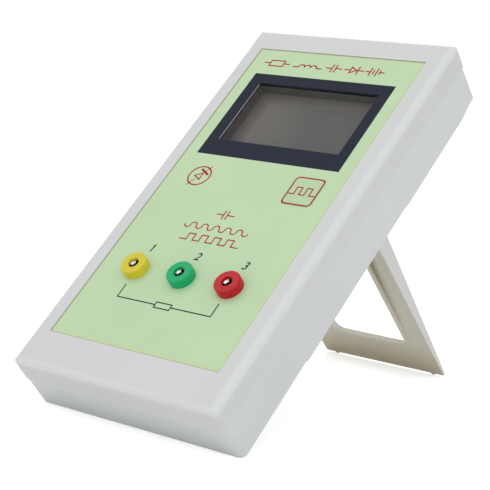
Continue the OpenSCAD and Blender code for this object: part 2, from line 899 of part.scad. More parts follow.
// Pan-head screw that points along +Z, with its head's seat at the origin
module screw(d, l, head_d, head_h) {
    difference() {
        union() {
            cylinder(d = d, h = l);
            rotate_extrude() difference() {
                union() {
                    translate([0, -head_h]) square([head_d / 2 - 0.4 * head_h, head_h]);
                    translate([0, -0.6 * head_h]) square([head_d / 2, 0.6 * head_h]);
                    translate([head_d / 2 - 0.4 * head_h, -0.6 * head_h]) circle(0.4 * head_h);
                }
                translate([-head_d, -2 * head_h]) square([head_d, 4 * head_h]);
            }
        }
        for (a = [0, 90]) rotate(a)
            translate([-head_d / 4, -head_d / 14, -head_h - 1])
                cube([head_d / 2, head_d / 7, 1 + 0.6 * head_h]);
    }
}

module screws_at(places, seat_z, d, l, head_d, head_h) {
    color(nickel) upright()
        for (p = places) translate([p[0], p[1], seat_z]) screw(d, l, head_d, head_h);
}

module display_screws() {
    screws_at(lcd_screws_at, lcd_board_z - board_t, small_screw_d, 6, small_head_d,
        small_head_h);
}

module board_screws() {
    screws_at(board_screws_at, board_back_z, small_screw_d, 6, small_head_d, small_head_h);
}

module case_screws() {
    screws_at(screw_places, screw_seat_z, screw_d, screw_reach, screw_head_d, screw_head_h);
}

// ---------------------------------------------------------------- sockets

module socket_body(x, shade) {
    base = label_z + label_t;
    mouth_r = plug_d / 2 + plug_play;
    color(shade) upright() translate([x, socket_row_y, 0]) rotate_extrude() difference() {
        union() {
            translate([0, base]) square([collar_d / 2 - collar_edge_r, collar_h - base]);
            translate([0, base]) square([collar_d / 2, collar_h - collar_edge_r - base]);
            translate([collar_d / 2 - collar_edge_r, collar_h - collar_edge_r])
                circle(collar_edge_r);
            translate([0, -socket_depth]) square([barrel_d / 2, socket_depth + base]);
        }
        translate([-cut, -cut]) square([cut, 2 * cut]);
        translate([0, -cut]) square([mouth_r, 2 * cut]);
        translate([0, -cut])
            square([contact_d / 2 + contact_play, cut + collar_h - contact_inset]);
        // Eased mouth of the hole
        polygon([
            [0, collar_h + mouth_depth],
            [mouth_r + 2 * mouth_depth, collar_h + mouth_depth],
            [mouth_r, collar_h - mouth_depth],
            [0, collar_h - mouth_depth]
        ]);
    }
}

module socket_yellow() { socket_body(socket_xs[0], "#DFCB45"); }
module socket_green() { socket_body(socket_xs[1], "#22AE72"); }
module socket_red() { socket_body(socket_xs[2], "#C8252E"); }

module socket_contacts() {
    color(nickel) upright() for (x = socket_xs) translate([x, socket_row_y, 0]) {
        difference() {
            translate([0, 0, -socket_depth])
                cylinder(d = contact_d, h = socket_depth + collar_h - contact_inset);
            translate([0, 0, -socket_depth + contact_floor_t])
                cylinder(d = plug_d, h = cut);
        }
        translate([0, 0, board_back_z - tail_end])
            cylinder(d = tail_d, h = -board_back_z - socket_depth + tail_end);
    }
}

module socket_nuts() {
    color(nickel) upright() for (x = socket_xs)
        translate([x, socket_row_y, -wall - nut_h]) difference() {
            cylinder(d = nut_flats / cos(30), h = nut_h, $fn = 6);
            translate([0, 0, -over])
                cylinder(d = barrel_d + 2 * nut_play, h = nut_h + 2 * over);
        }
}

// ---------------------------------------------------------------- main board

module main_board() {
    color(board_green) upright() difference() {
        translate([0, 0, board_back_z]) linear_extrude(board_t) {
            translate([-board_w / 2, board_bottom_y])
                square([board_w, board_shoulder_y - board_bottom_y]);
            translate([-board_neck_w / 2, board_shoulder_y - over])
                square([board_neck_w, board_top_y - board_shoulder_y + over]);
        }
        posts(board_screws_at, small_screw_d + 2 * hole_play, board_back_z - over,
            -board_z + over);
        posts(concat(header_places, switch_pins_at, chip_places, small_leads), pin_hole_d,
            board_back_z - over, -board_z + over);
        posts([for (x = socket_xs) [x, socket_row_y]], tail_d + 2 * hole_play,
            board_back_z - over, -board_z + over);
    }
}

module chip_socket() {
    l = chip_pins / 2 * chip_pitch;
    color(moulded_black) upright() {
        translate([chip_x, chip_y, -board_z]) linear_extrude(chip_socket_h) difference() {
            square([l, chip_rows + 2 * chip_socket_rim], center = true);
            square([l - 2 * chip_socket_end, chip_rows - 2 * chip_socket_bar], center = true);
        }
        posts(chip_places, pin_d, board_back_z - solder_h, -board_z);
    }
}

module microcontroller() {
    l = chip_pins / 2 * chip_pitch - chip_short;
    seat = -board_z + chip_socket_h;
    body_w = chip_rows - chip_short;
    leg_top = chip_lift + chip_t / 2 + chip_leg_t / 2;
    leg_out = chip_rows / 2 + chip_leg_t / 2;
    color(moulded_black) upright() {
        difference() {
            translate([chip_x, chip_y, seat + chip_lift]) linear_extrude(chip_t)
                square([l, body_w], center = true);
            // Half-round mark at pin 1's end
            translate([chip_x - l / 2, chip_y, seat + chip_lift + chip_t - chip_mark_r])
                cylinder(r = chip_mark_r, h = chip_mark_r + over);
        }
        // Legs, bent down from the middle of the sides
        for (p = chip_places) translate([p[0], chip_y, seat]) {
            side = sign(p[1] - chip_y);
            translate([0, side * (leg_out - chip_leg_t / 2), leg_top / 2])
                cube([chip_leg_w, chip_leg_t, leg_top], center = true);
            translate([0, side * (body_w / 2 + leg_out) / 2, leg_top - chip_leg_t / 2])
                cube([chip_leg_w, leg_out - body_w / 2, chip_leg_t], center = true);
        }
    }
}

// Pair of wires through the board, up into a part that stands off it
module wires(span, lift) {
    for (s = [-1, 1])
        translate([s * span / 2, 0, -board_t - solder_h])
            cylinder(d = lead_wire_d, h = board_t + solder_h + lift + 0.1);
}

module crystal() {
    rim = 2 * crystal_flange;
    end_r = crystal_w / 2 - 0.05;
    color(nickel) upright() translate([crystal_at[0], crystal_at[1], -board_z]) {
        translate([0, 0, part_lift]) {
            plate(crystal_l + rim, crystal_w + rim, crystal_flange_t, end_r + crystal_flange);
            plate(crystal_l, crystal_w, crystal_h, end_r);
        }
        wires(crystal_leads, part_lift);
    }
}

module voltage_regulator() {
    color(moulded_black) upright()
        translate([regulator_at[0], regulator_at[1], -board_z]) {
            translate([0, 0, regulator_lift]) linear_extrude(regulator_h) difference() {
                circle(d = regulator_d);
                translate([-regulator_d, -regulator_flat - regulator_d])
                    square([2 * regulator_d, regulator_d]);
            }
            for (i = [-1:1])
                translate([i * regulator_pitch, 0, -board_t - solder_h])
                    cylinder(d = lead_wire_d, h = board_t + solder_h + regulator_lift);
        }
}

module capacitors() {
    r = capacitor_d / 2;
    color("#26303F") upright() for (p = capacitors_at)
        translate([p[0], p[1], -board_z]) {
            translate([0, 0, part_lift]) rotate_extrude() difference() {
                square([r, capacitor_h]);
                translate([r + capacitor_groove_r - capacitor_groove_depth, capacitor_groove_at])
                    circle(capacitor_groove_r, $fn = 24);
            }
            wires(capacitor_leads, part_lift);
        }
}

module resistors() {
    cap_at = (resistor_l - resistor_cap_l) / 2;
    drop = resistor_lift + board_t + solder_h;
    color("#C9B48A") upright() for (p = resistors_at)
        translate([p[0], p[1], -board_z + resistor_lift]) {
            rotate([90, 0, 0]) {
                cylinder(r = resistor_r - resistor_waist, h = resistor_l, center = true);
                for (s = [-1, 1]) translate([0, 0, s * cap_at])
                    cylinder(r = resistor_r, h = resistor_cap_l, center = true);
                cylinder(d = lead_wire_d, h = resistor_span, center = true);
            }
            for (s = [-1, 1]) translate([0, s * resistor_span / 2, 0]) {
                sphere(d = lead_wire_d, $fn = 24);
                translate([0, 0, -drop]) cylinder(d = lead_wire_d, h = drop);
            }
        }
}

// ---------------------------------------------------------------- battery

module battery() {
    color("#5A6068") upright() translate([battery_x0, cell_y, battery_z]) {
        rotate([90, 0, 90]) linear_extrude(battery_l)
            rounded_plan(battery_w, battery_t, battery_r);
        for (s = [-1, 1]) translate([battery_l, s * terminal_pitch / 2, 0])
            rotate([0, 90, 0])
                cylinder(d = s > 0 ? terminal_d : socket_terminal_d, h = terminal_h);
    }
}

module battery_snap() {
    color(moulded_black) upright() translate([snap_x, cell_y, battery_z]) {
        rotate([90, 0, 90]) linear_extrude(snap_t) rounded_plan(snap_l, snap_w, snap_r);
        for (s = [-1, 1]) translate([-terminal_h, s * terminal_pitch / 2, 0])
            rotate([0, 90, 0]) difference() {
                d = s > 0 ? terminal_d : socket_terminal_d;
                cylinder(d = d + 2 * snap_wall, h = terminal_h);
                translate([0, 0, -over]) cylinder(d = d + 2 * snap_play, h = terminal_h + over);
            }
    }
}

// Insulated lead from the snap, over the edge of the board and down to its pad
module battery_lead(side) {
    start_y = cell_y + snap_l / 2;
    upright() translate([lead_x + side * lead_spread, start_y, battery_z]) {
        rotate([-90, 0, 0]) cylinder(d = lead_d, h = lead_end_y - start_y);
        translate([0, lead_end_y - start_y, 0]) {
            sphere(d = lead_d);
            translate([0, 0, -board_z - battery_z])
                cylinder(d = lead_d, h = battery_z + board_z);
        }
    }
}

module battery_lead_red() { color("#B02A2A") battery_lead(-1); }
module battery_lead_black() { color("#202022") battery_lead(1); }

// Foam wedge glued inside the door, which keeps the battery from rattling
module battery_pad() {
    top_z = battery_front_z - battery_t - pad_gap;
    start_y = stand_y - pocket_end_u + pad_start;
    end_y = start_y + pad_l;
    color("#3A3A3C") upright() along_x(pad_w) polygon([
        [start_y, top_z],
        [end_y, top_z],
        [end_y, floor_z(end_y) + door_t],
        [start_y, floor_z(start_y) + door_t]
    ]);
}

// ---------------------------------------------------------------- assembly

front_cover();
rear_cover();
front_label();
display_window();
display_frame();
display_glass();
display_backlight();
display_board();
display_header();
display_screws();
test_key();
key_plunger();
switch_body();
socket_yellow();
socket_green();
socket_red();
socket_contacts();
socket_nuts();
main_board();
chip_socket();
microcontroller();
crystal();
voltage_regulator();
capacitors();
resistors();
board_screws();
battery();
battery_snap();
battery_lead_red();
battery_lead_black();
battery_pad();
battery_door();
kickstand();
case_screws();
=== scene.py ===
import json
import math

import bmesh
import bpy
from bpy.props import FloatProperty, FloatVectorProperty, PointerProperty
from mathutils import Matrix, Vector


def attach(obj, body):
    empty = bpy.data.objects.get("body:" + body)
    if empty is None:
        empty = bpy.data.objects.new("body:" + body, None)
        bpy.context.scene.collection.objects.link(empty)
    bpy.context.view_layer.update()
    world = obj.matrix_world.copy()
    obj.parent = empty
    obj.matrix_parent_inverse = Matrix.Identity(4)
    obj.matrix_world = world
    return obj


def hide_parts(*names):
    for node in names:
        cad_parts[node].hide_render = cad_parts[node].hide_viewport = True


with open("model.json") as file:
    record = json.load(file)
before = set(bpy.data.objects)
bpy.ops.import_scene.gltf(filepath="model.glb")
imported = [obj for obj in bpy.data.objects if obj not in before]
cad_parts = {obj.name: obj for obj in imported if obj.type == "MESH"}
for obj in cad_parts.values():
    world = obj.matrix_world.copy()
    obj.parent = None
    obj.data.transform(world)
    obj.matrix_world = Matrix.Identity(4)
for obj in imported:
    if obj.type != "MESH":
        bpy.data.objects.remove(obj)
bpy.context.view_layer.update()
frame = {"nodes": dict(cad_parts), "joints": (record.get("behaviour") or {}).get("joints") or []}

bl_info = {
    "name": "Component Tester",
    "version": (1, 0, 0),
    "blender": (4, 5, 0),
    "location": "3D View > Sidebar > Component Tester",
    "description": "Dresses the packed component tester with its finishes, print and fine parts",
    "category": "Object",
}

MM = 0.001

# Places on the face of the case, in mm: X from its middle to the right, Y up its length
FACE_TOP = -0.3  # top of the label, under the front face
KEY_TOP = -0.2
INK_LIFT = 0.003
KEY_PLACE = (23.9, 6.95)
KEY_HINGE_HEIGHT = -0.75  # the key joint's own height
KEY_SIZE = (12.8, 13.3)
KEY_CORNER = 1.8
LABEL_SIZE = (76.0, 150.2)
LABEL_MIDDLE = 1.8
WINDOW_SIZE = (55.8, 31.8)
WINDOW_PLACE = (0.0, 42.2)
SURROUND_SIZE = (64.9, 44.9)
SURROUND_PLACE = (0.0, 40.7)
# Width of the dark lining that stands in for the shade on the window's top wall
LINING_WIDTH = 0.12
EDGE_WIDTH = 0.3  # of the strip that shows along the window's left edge
EDGE_HEIGHT = -0.98
LIVE_SIZE = (56.0, 32.0)  # the display's live area, set off the window's middle so that its darker border shows along the left and top
LIVE_MIDDLE = (5.6, 37.6)
SOCKETS = {"yellow": -21.2, "green": 0.0, "red": 21.2}
SOCKET_ROW = -39.8
LEAF_ANGLES = (115, 185)  # sides of the contacts' spring leaves, in degrees
FACE_SIZE = (90.4, 175.4)  # the front face, inside the flare of its walls
SEAM_HEIGHT = -10.0  # where the two covers meet

# The kickstand's legs at rest, in mm: X from its middle, heights above the floor
CAD_CHANNEL_X = (19.35, 27.55)  # walls of the channel in each leg, as packed
CHANNEL_X = (20.2, 27.55)  # and as dressed, with a wider ridge beside the window
CHANNEL_HEIGHTS = (8, 75)
CHANNEL_DEPTH = 1.8  # a little over the real depth
RUN_OUT_HEIGHT = 40  # below it the channels run out to nothing

# Where finishes begin and end, in mm
EDGE_HIGHLIGHT_BAND = (0.9, 2.4)  # from the front face's edge, where a highlight is painted on its rounding
EDGE_HIGHLIGHT_HEIGHTS = (-3.6, -2.2)
YELLOWER_BAND = (0.4, 1.6)  # from the label's edge, where its border is yellower
# A painted shadow line along the label's cut rim
RIM_SHADOW_BAND = (0.1, 0.4)
LIVE_BORDER_AND_SHADE_BAND = (-0.5, 1.2)
WARM_X = (-24, 6)  # across the display, from its brown side to plain grey
CHANNEL_FADE = (0.2, 0.6)  # beyond a channel's walls
# Width and heights of the painted shade in the channels' corners
CORNER_SHADE_WIDTH = 3
CORNER_SHADE_HEIGHTS = (20, 62)
FOOT_HEIGHTS = (1, 14)  # from the foot's darker painted shade to the faces' lighter one
# Half width of the line at the parting line: real raised flash, painted paler as a highlight
FLASH_AND_HIGHLIGHT_HALF_WIDTH = 0.3

# Settings that several finishes share
SPREAD = (0.3, 0.7)  # where most of a noise's values lie
COLOURS = {"data_type": "RGBA"}  # for a node that mixes colours
FLASH_HEIGHT = 3.0  # of the flash line over the grain's, in its bump
ABS_IOR = 1.53
WEAVE_PITCH = 7.892 * MM  # along the sum of the axes
PIN_PITCH = 2.54 * MM  # of the chip's legs, which the tracks follow

# The camera, in mm and directions from the middle of the case's face
CAMERA_PLACE = (335.8, -277.18, 339.7)
CAMERA_RIGHT = (0.786, 0.5, -0.3636)
CAMERA_UP = (-0.1441, 0.7201, 0.6788)
FLOOR_REACH = 4000


def linear(code):
    """An sRGB hex colour as linear red, green and blue."""
    parts = [int(code[i:i + 2], 16) / 255 for i in (1, 3, 5)]
    return tuple(c / 12.92 if c <= 0.04045 else ((c + 0.055) / 1.055) ** 2.4 for c in parts)


def colour_prop(name, description, code):
    """A colour setting whose default is an sRGB hex colour."""
    return FloatVectorProperty(
        name=name, description=description, default=linear(code), subtype="COLOR", min=0, max=1
    )


def number_prop(name, description, value, unit="NONE"):
    """A number setting of zero or more."""
    return FloatProperty(name=name, description=description, default=value, unit=unit, min=0)


def length_prop(name, description, millimetres):
    """A length setting, given in mm and kept in metres."""
    return number_prop(name, description, millimetres * MM, "LENGTH")


class HousingSettings(bpy.types.PropertyGroup):
    """Finish of the two covers, the battery door and the kickstand."""

    front: colour_prop("Front cover", "Colour of the front cover", "#D3D4D2")
    rear: colour_prop("Rear cover", "Colour of the rear cover and battery door", "#D5D7D6")
    stand: colour_prop("Kickstand", "Colour of the kickstand's sides", "#D6D5D1")
    # Painted shade: the kickstand's faces turned to the case get this darker, warmer colour
    yellowed: colour_prop("Kickstand's faces", "Colour of its yellowed flat faces", "#D6D1C0")
    # Painted shade: the faces near the foot get this darker brown
    foot: colour_prop("Kickstand's foot", "Colour of the faces near the foot", "#B3A47C")
    grain: length_prop("Grain", "Size of the moulded grain", 0.55)


class LabelSettings(bpy.types.PropertyGroup):
    """Printed label on the front."""

    ground: colour_prop("Ground", "Colour of the label", "#C1DBB0")
    edge: colour_prop("Edge", "Colour along the label's border", "#C9D9A8")
    red: colour_prop("Red ink", "Colour of the red print", "#AC2A2C")
    dark: colour_prop("Dark ink", "Colour of the digits and the bracket", "#33463F")
    navy: colour_prop("Display surround", "Colour round the window", "#272B37")
    # The cut rim's colour is a painted shadow line along the label's edge
    rim: colour_prop("Cut rim", "Colour of the label's cut rim", "#A9AA88")
    line: length_prop("Line width", "Width of the drawn lines", 0.5)
    ink: length_prop("Ink thickness", "How far the ink stands proud", 0.02)
    digit: length_prop("Digit height", "Height of the digits by the sockets", 3.5)


class DisplaySettings(bpy.types.PropertyGroup):
    """Window and display."""

    glass: colour_prop("Glass", "Colour of the unlit display", "#706F71")
    warm: colour_prop("Warm side", "Colour of the display's left part", "#8D8583")


class SocketSettings(bpy.types.PropertyGroup):
    """Test sockets."""

    yellow: colour_prop("Yellow", "Colour of socket 1", "#DBC932")
    green: colour_prop("Green", "Colour of socket 2", "#0CAC6A")
    red: colour_prop("Red", "Colour of socket 3", "#BF1620")


class StageSettings(bpy.types.PropertyGroup):
    """Floor, lights and camera."""

    floor: colour_prop("Floor", "Colour of the floor", "#F4F4F4")
    lamp: number_prop("Lamp", "Power of the main lamp", 2.1, "POWER")
    fill: number_prop("Fill", "Power of the fill lamp", 2.7, "POWER")
    sky: number_prop("Sky", "Strength of the light from all round", 0.74)
    focal: number_prop("Focal length", "Focal length of the camera in mm", 112.94)


def settings(context, group):
    """One of this add-on's groups of settings."""
    return getattr(context.scene, "tester_" + group)


def case_matrix():
    """From the case's own directions and its face's middle to the world, by the key's joint."""
    joint = next(j for j in frame["joints"] if j["name"] == "test_key_press")
    out = -Vector(joint["axis"])
    right = Vector((1, 0, 0))
    up = out.cross(right)
    turn = Matrix((right, up, out)).transposed()
    seat = Vector((KEY_PLACE[0], KEY_PLACE[1], KEY_HINGE_HEIGHT)) * MM
    origin = Vector(joint["pos_m"]) - turn @ seat
    return Matrix.Translation(origin) @ turn.to_4x4()


CASE = case_matrix()


# ---------------------------------------------------------------- materials


def add_node(tree, kind, inputs=(), **options):
    """Adds a node, sets its options, and sets or links its inputs, given by name or in their order.

    A node given as an input is linked by its first output in use.
    """
    node = tree.nodes.new("ShaderNode" + kind)
    for name, value in options.items():
        setattr(node, name, value)
    if isinstance(inputs, dict):
        chosen = [(node.inputs[name], value) for name, value in inputs.items()]
    else:
        chosen = zip([socket for socket in node.inputs if socket.enabled], inputs)
    for socket, value in chosen:
        if isinstance(value, bpy.types.Node):
            value = next(output for output in value.outputs if output.enabled)
        if isinstance(value, bpy.types.NodeSocket):
            tree.links.new(value, socket)
        elif socket.type == "RGBA" and len(value) == 3:
            socket.default_value = (*value, 1)
        else:
            socket.default_value = value
    return node


def new_material(name):
    """An empty node material; gives the material and its tree."""
    material = bpy.data.materials.new(name)
    material.use_nodes = True
    material.node_tree.nodes.clear()
    return material, material.node_tree


def finished(material, shader):
    """Sends a shader to a material's output, and gives the material."""
    add_node(material.node_tree, "OutputMaterial", {"Surface": shader})
    return material


def shaded(colour, share):
    """A colour made lighter or darker by a share."""
    return tuple(min(1.0, c * share) for c in colour)


def case_place(tree):
    """Object coordinates turned into the case's own directions, from the middle of its face."""
    place = add_node(tree, "TexCoord").outputs["Object"]
    back = CASE.inverted()
    return add_node(tree, "Mapping", (place, back.translation, back.to_euler()))


def from_middle(tree, value, middle):
    """How far a coordinate is from a middle value in mm."""
    shifted = add_node(tree, "Math", (value, middle * MM), operation="SUBTRACT")
    return add_node(tree, "Math", [shifted], operation="ABSOLUTE")


def border(tree, place, size, middle, outer, inner):
    """1 at a rectangle's border on the face, 0 inside it, fading between two distances in mm."""
    parts = add_node(tree, "SeparateXYZ", [place]).outputs
    rises = []
    for axis, length, centre in zip("XY", size, middle):
        distance = from_middle(tree, parts[axis], centre)
        start, end = (length / 2 - inner) * MM, (length / 2 - outer) * MM
        rises.append(add_node(tree, "MapRange", (distance, start, end, 0, 1)))
    return add_node(tree, "Math", rises, operation="MAXIMUM")


def case_height_line(tree, height, half_width):
    """1 on a thin line round the case at a height of its own, 0 elsewhere."""
    parts = add_node(tree, "SeparateXYZ", [case_place(tree)]).outputs
    distance = from_middle(tree, parts["Z"], height)
    return add_node(tree, "MapRange", (distance, 0, half_width * MM, 1, 0))


def face_edge(tree):
    """1 along the rounded edge of the front face, where a highlight is painted; 0 elsewhere."""
    place = case_place(tree)
    height = add_node(tree, "SeparateXYZ", [place]).outputs["Z"]
    low, high = (z * MM for z in EDGE_HIGHLIGHT_HEIGHTS)
    front = add_node(tree, "MapRange", (height, low, high, 0, 1))
    band = border(tree, place, FACE_SIZE, (0, 0), *EDGE_HIGHLIGHT_BAND)
    return add_node(tree, "Math", (front, band), operation="MULTIPLY")


def moulded_plastic(name, colour, roughness, grain=0.4 * MM, depth=0.02 * MM, seam=None):
    """Injection-moulded ABS: a fine spark-eroded grain, and a slow drift of tone and gloss.

    The drift shows how the plastic flowed. Where a seam height is given, the mould's halves leave
    a fine raised flash line there, painted paler as a highlight, and a highlight is painted along
    the rounded edge of the front face.
    """
    material, tree = new_material(name)
    place = add_node(tree, "TexCoord").outputs["Object"]
    flow = add_node(tree, "TexNoise", {"Vector": place, "Scale": 1 / (30 * MM), "Detail": 3})
    fine = add_node(tree, "TexNoise", {"Vector": place, "Scale": 1 / grain, "Roughness": 0.6})
    drift = add_node(tree, "MapRange", (flow, *SPREAD, 0, 1))
    tone = add_node(tree, "Mix", (drift, shaded(colour, 0.96), shaded(colour, 1.02)), **COLOURS)
    pits = add_node(tree, "MapRange", (fine, 0.35, 0.75, 0, 0.06))
    tone = add_node(tree, "Mix", (pits, tone, shaded(colour, 0.8)), **COLOURS)
    height = fine
    if seam is not None:
        flash_and_highlight = case_height_line(tree, seam, FLASH_AND_HIGHLIGHT_HALF_WIDTH)
        # Painted highlight along the parting line; the line's real relief goes into the bump
        tone = add_node(tree, "Mix", (flash_and_highlight, tone, shaded(colour, 1.22)), **COLOURS)
        # Painted highlight along the rounded edge of the front face
        tone = add_node(tree, "Mix", (face_edge(tree), tone, shaded(colour, 1.13)), **COLOURS)
        height = add_node(tree, "Math", (flash_and_highlight, FLASH_HEIGHT, fine), operation="MULTIPLY_ADD")
    bump = add_node(tree, "Bump", {"Height": height, "Distance": depth, "Strength": 0.6})
    gloss = add_node(tree, "MapRange", (flow, 0.25, 0.75, roughness - 0.05, roughness + 0.05))
    surface = {"Base Color": tone, "Roughness": gloss, "IOR": ABS_IOR, "Normal": bump}
    return finished(material, add_node(tree, "BsdfPrincipled", surface))


def yellowed_plastic(name, side, face, foot, grain):
    """Moulded ABS like the case's, with painted shade: a darker, warmer colour on the faces turned
    to the case, darkest near the foot.

    Painted shade also darkens the channels beside their inner walls, more so higher up.
    """
    material, tree = new_material(name)
    coordinates = add_node(tree, "TexCoord").outputs
    at = coordinates["Object"]
    fine = add_node(tree, "TexNoise", {"Vector": at, "Scale": 1 / grain, "Roughness": 0.6})
    slow = add_node(tree, "TexNoise", {"Vector": at, "Scale": 1 / (20 * MM)})
    facing = add_node(tree, "SeparateXYZ", [coordinates["Normal"]]).outputs["Y"]
    place = add_node(tree, "SeparateXYZ", [at]).outputs
    offset = add_node(tree, "Math", [place["X"]], operation="ABSOLUTE")
    near, far = (x * MM for x in CHANNEL_X)
    fade = [reach * MM for reach in CHANNEL_FADE]

    begun = add_node(tree, "MapRange", (offset, near - fade[1], near - fade[0], 0, 1))
    ended = add_node(tree, "MapRange", (offset, far + fade[0], far + fade[1], 1, 0))
    channel = add_node(tree, "Math", (begun, ended), operation="MULTIPLY")
    turned = add_node(tree, "MapRange", (facing, 0.1, 0.5, 1, 0))
    walls = add_node(tree, "Math", (turned, channel), operation="MULTIPLY")
    flat = add_node(tree, "MapRange", (facing, -0.6, -0.2, 1, 0))
    inner = add_node(tree, "Math", (flat, walls), operation="MAXIMUM")

    # Painted shade in the channel's corner beside its inner wall, stronger higher up
    beside = add_node(tree, "MapRange", (offset, near, near + CORNER_SHADE_WIDTH * MM, 1, 0))
    corner = add_node(tree, "Math", (begun, beside), operation="MULTIPLY")
    low, high = (z * MM for z in CORNER_SHADE_HEIGHTS)
    raised = add_node(tree, "MapRange", (place["Z"], low, high, 0, 1))
    corner_shade = add_node(tree, "Math", (raised, corner), operation="MULTIPLY")
    corner_shade = add_node(tree, "Math", (inner, corner_shade), operation="MULTIPLY")

    # Painted shade, darkest near the foot
    low, high = (z * MM for z in FOOT_HEIGHTS)
    lower = add_node(tree, "MapRange", (place["Z"], low, high, 1, 0))
    tone = add_node(tree, "Mix", (lower, face, foot), **COLOURS)
    cloud = add_node(tree, "MapRange", (slow, *SPREAD, 0, 0.5))
    tone = add_node(tree, "Mix", (cloud, tone, shaded(face, 0.95)), **COLOURS)
    # Painted shade: faces turned to the case and the channels' walls take the darker, warmer colour
    tone = add_node(tree, "Mix", (inner, side, tone), **COLOURS)
    tone = add_node(tree, "Mix", (corner_shade, tone, shaded(foot, 0.7)), **COLOURS)
    bump = add_node(tree, "Bump", {"Height": fine, "Distance": 0.03 * MM, "Strength": 0.6})
    gloss = add_node(tree, "MapRange", (slow, 0.25, 0.75, 0.4, 0.5))
    surface = {"Base Color": tone, "Roughness": gloss, "IOR": ABS_IOR, "Normal": bump}
    return finished(material, add_node(tree, "BsdfPrincipled", surface))


def glossy_plastic(name, colour):
    """Moulded nylon or PVC: nearly smooth, a soft orange peel and a few dull handling marks."""
    material, tree = new_material(name)
    place = add_node(tree, "TexCoord").outputs["Object"]
    peel = add_node(tree, "TexNoise", {"Vector": place, "Scale": 1 / (1.8 * MM), "Detail": 1})
    marks = add_node(
        tree, "TexNoise", {"Vector": place, "Scale": 1 / (5 * MM), "Detail": 4, "Roughness": 0.7}
    )
    handled = add_node(tree, "MapRange", (marks, 0.3, 0.8, 0, 0.25))
    tone = add_node(tree, "Mix", (handled, colour, shaded(colour, 0.78)), **COLOURS)
    gloss = add_node(tree, "MapRange", (marks, 0.4, 0.75, 0.34, 0.49))
    bump = add_node(tree, "Bump", {"Height": peel, "Distance": 0.03 * MM, "Strength": 0.5})
    surface = {
        "Base Color": tone, "Roughness": gloss, "IOR": 1.5, "Normal": bump,
        "Specular IOR Level": 0.2, "Coat Weight": 0.12, "Coat Roughness": 0.15,
    }
    return finished(material, add_node(tree, "BsdfPrincipled", surface))


def plated_metal(name, colour, roughness, mark_size):
    """Plated metal: bright, with fine handling scratches and slightly dulled patches."""
    material, tree = new_material(name)
    place = add_node(tree, "TexCoord").outputs["Object"]
    patch = add_node(
        tree, "TexNoise", {"Vector": place, "Scale": 1 / mark_size, "Detail": 4, "Roughness": 0.65}
    )
    scratch = add_node(tree, "TexNoise", {"Vector": place, "Scale": 1 / (0.25 * MM), "Detail": 1})
    dulled = add_node(tree, "MapRange", (patch, 0.35, 0.7, 0, 1))
    tone = add_node(tree, "Mix", (dulled, colour, shaded(colour, 0.75)), **COLOURS)
    gloss = add_node(tree, "MapRange", (patch, 0.3, 0.75, roughness, roughness + 0.18))
    bump = add_node(tree, "Bump", {"Height": scratch, "Distance": 0.01 * MM, "Strength": 0.4})
    surface = {"Base Color": tone, "Metallic": 1, "Roughness": gloss, "Normal": bump}
    return finished(material, add_node(tree, "BsdfPrincipled", surface))


def printed_ink(name, colour):
    """Screen-printed ink: dull satin, slightly uneven where the mesh laid it down."""
    material, tree = new_material(name)
    place = add_node(tree, "TexCoord").outputs["Object"]
    mesh_mark = add_node(tree, "TexNoise", {"Vector": place, "Scale": 1 / (0.6 * MM)})
    cloud = add_node(tree, "TexNoise", {"Vector": place, "Scale": 1 / (12 * MM), "Detail": 3})
    thinner = add_node(tree, "MapRange", (cloud, *SPREAD, 0, 0.3))
    tone = add_node(tree, "Mix", (thinner, colour, shaded(colour, 1.15)), **COLOURS)
    gloss = add_node(tree, "MapRange", (mesh_mark, *SPREAD, 0.5, 0.62))
    bump = add_node(tree, "Bump", {"Height": mesh_mark, "Distance": 0.01 * MM, "Strength": 0.4})
    surface = {
        "Base Color": tone, "Roughness": gloss, "IOR": 1.5, "Normal": bump,
        "Specular IOR Level": 0.08,
    }
    return finished(material, add_node(tree, "BsdfPrincipled", surface))


def label_film(name, ground, edge, rim):
    """Printed polyester overlay: satin with a fine velvet texture, yellower along its border.

    Its cut rim is darker and tan: a painted shadow line along the label's edge.
    """
    material, tree = new_material(name)
    place = case_place(tree)
    cloud = add_node(tree, "TexNoise", {"Vector": place, "Scale": 1 / (25 * MM), "Detail": 3})
    velvet = add_node(tree, "TexNoise", {"Vector": place, "Scale": 1 / (0.5 * MM), "Detail": 1})
    drift = add_node(tree, "MapRange", (cloud, *SPREAD, 0, 1))
    tone = add_node(tree, "Mix", (drift, shaded(ground, 0.97), shaded(ground, 1.02)), **COLOURS)
    # A yellower border, then a painted shadow line along the rim
    for (outer, inner), colour in ((YELLOWER_BAND, edge), (RIM_SHADOW_BAND, rim)):
        band = border(tree, place, LABEL_SIZE, (0, LABEL_MIDDLE), outer, inner)
        tone = add_node(tree, "Mix", (band, tone, colour), **COLOURS)
    gloss = add_node(tree, "MapRange", (velvet, *SPREAD, 0.45, 0.55))
    bump = add_node(tree, "Bump", {"Height": velvet, "Distance": 0.012 * MM, "Strength": 0.5})
    surface = {
        "Base Color": tone, "Roughness": gloss, "IOR": 1.5, "Normal": bump,
        "Specular IOR Level": 0.3,
    }
    return finished(material, add_node(tree, "BsdfPrincipled", surface))


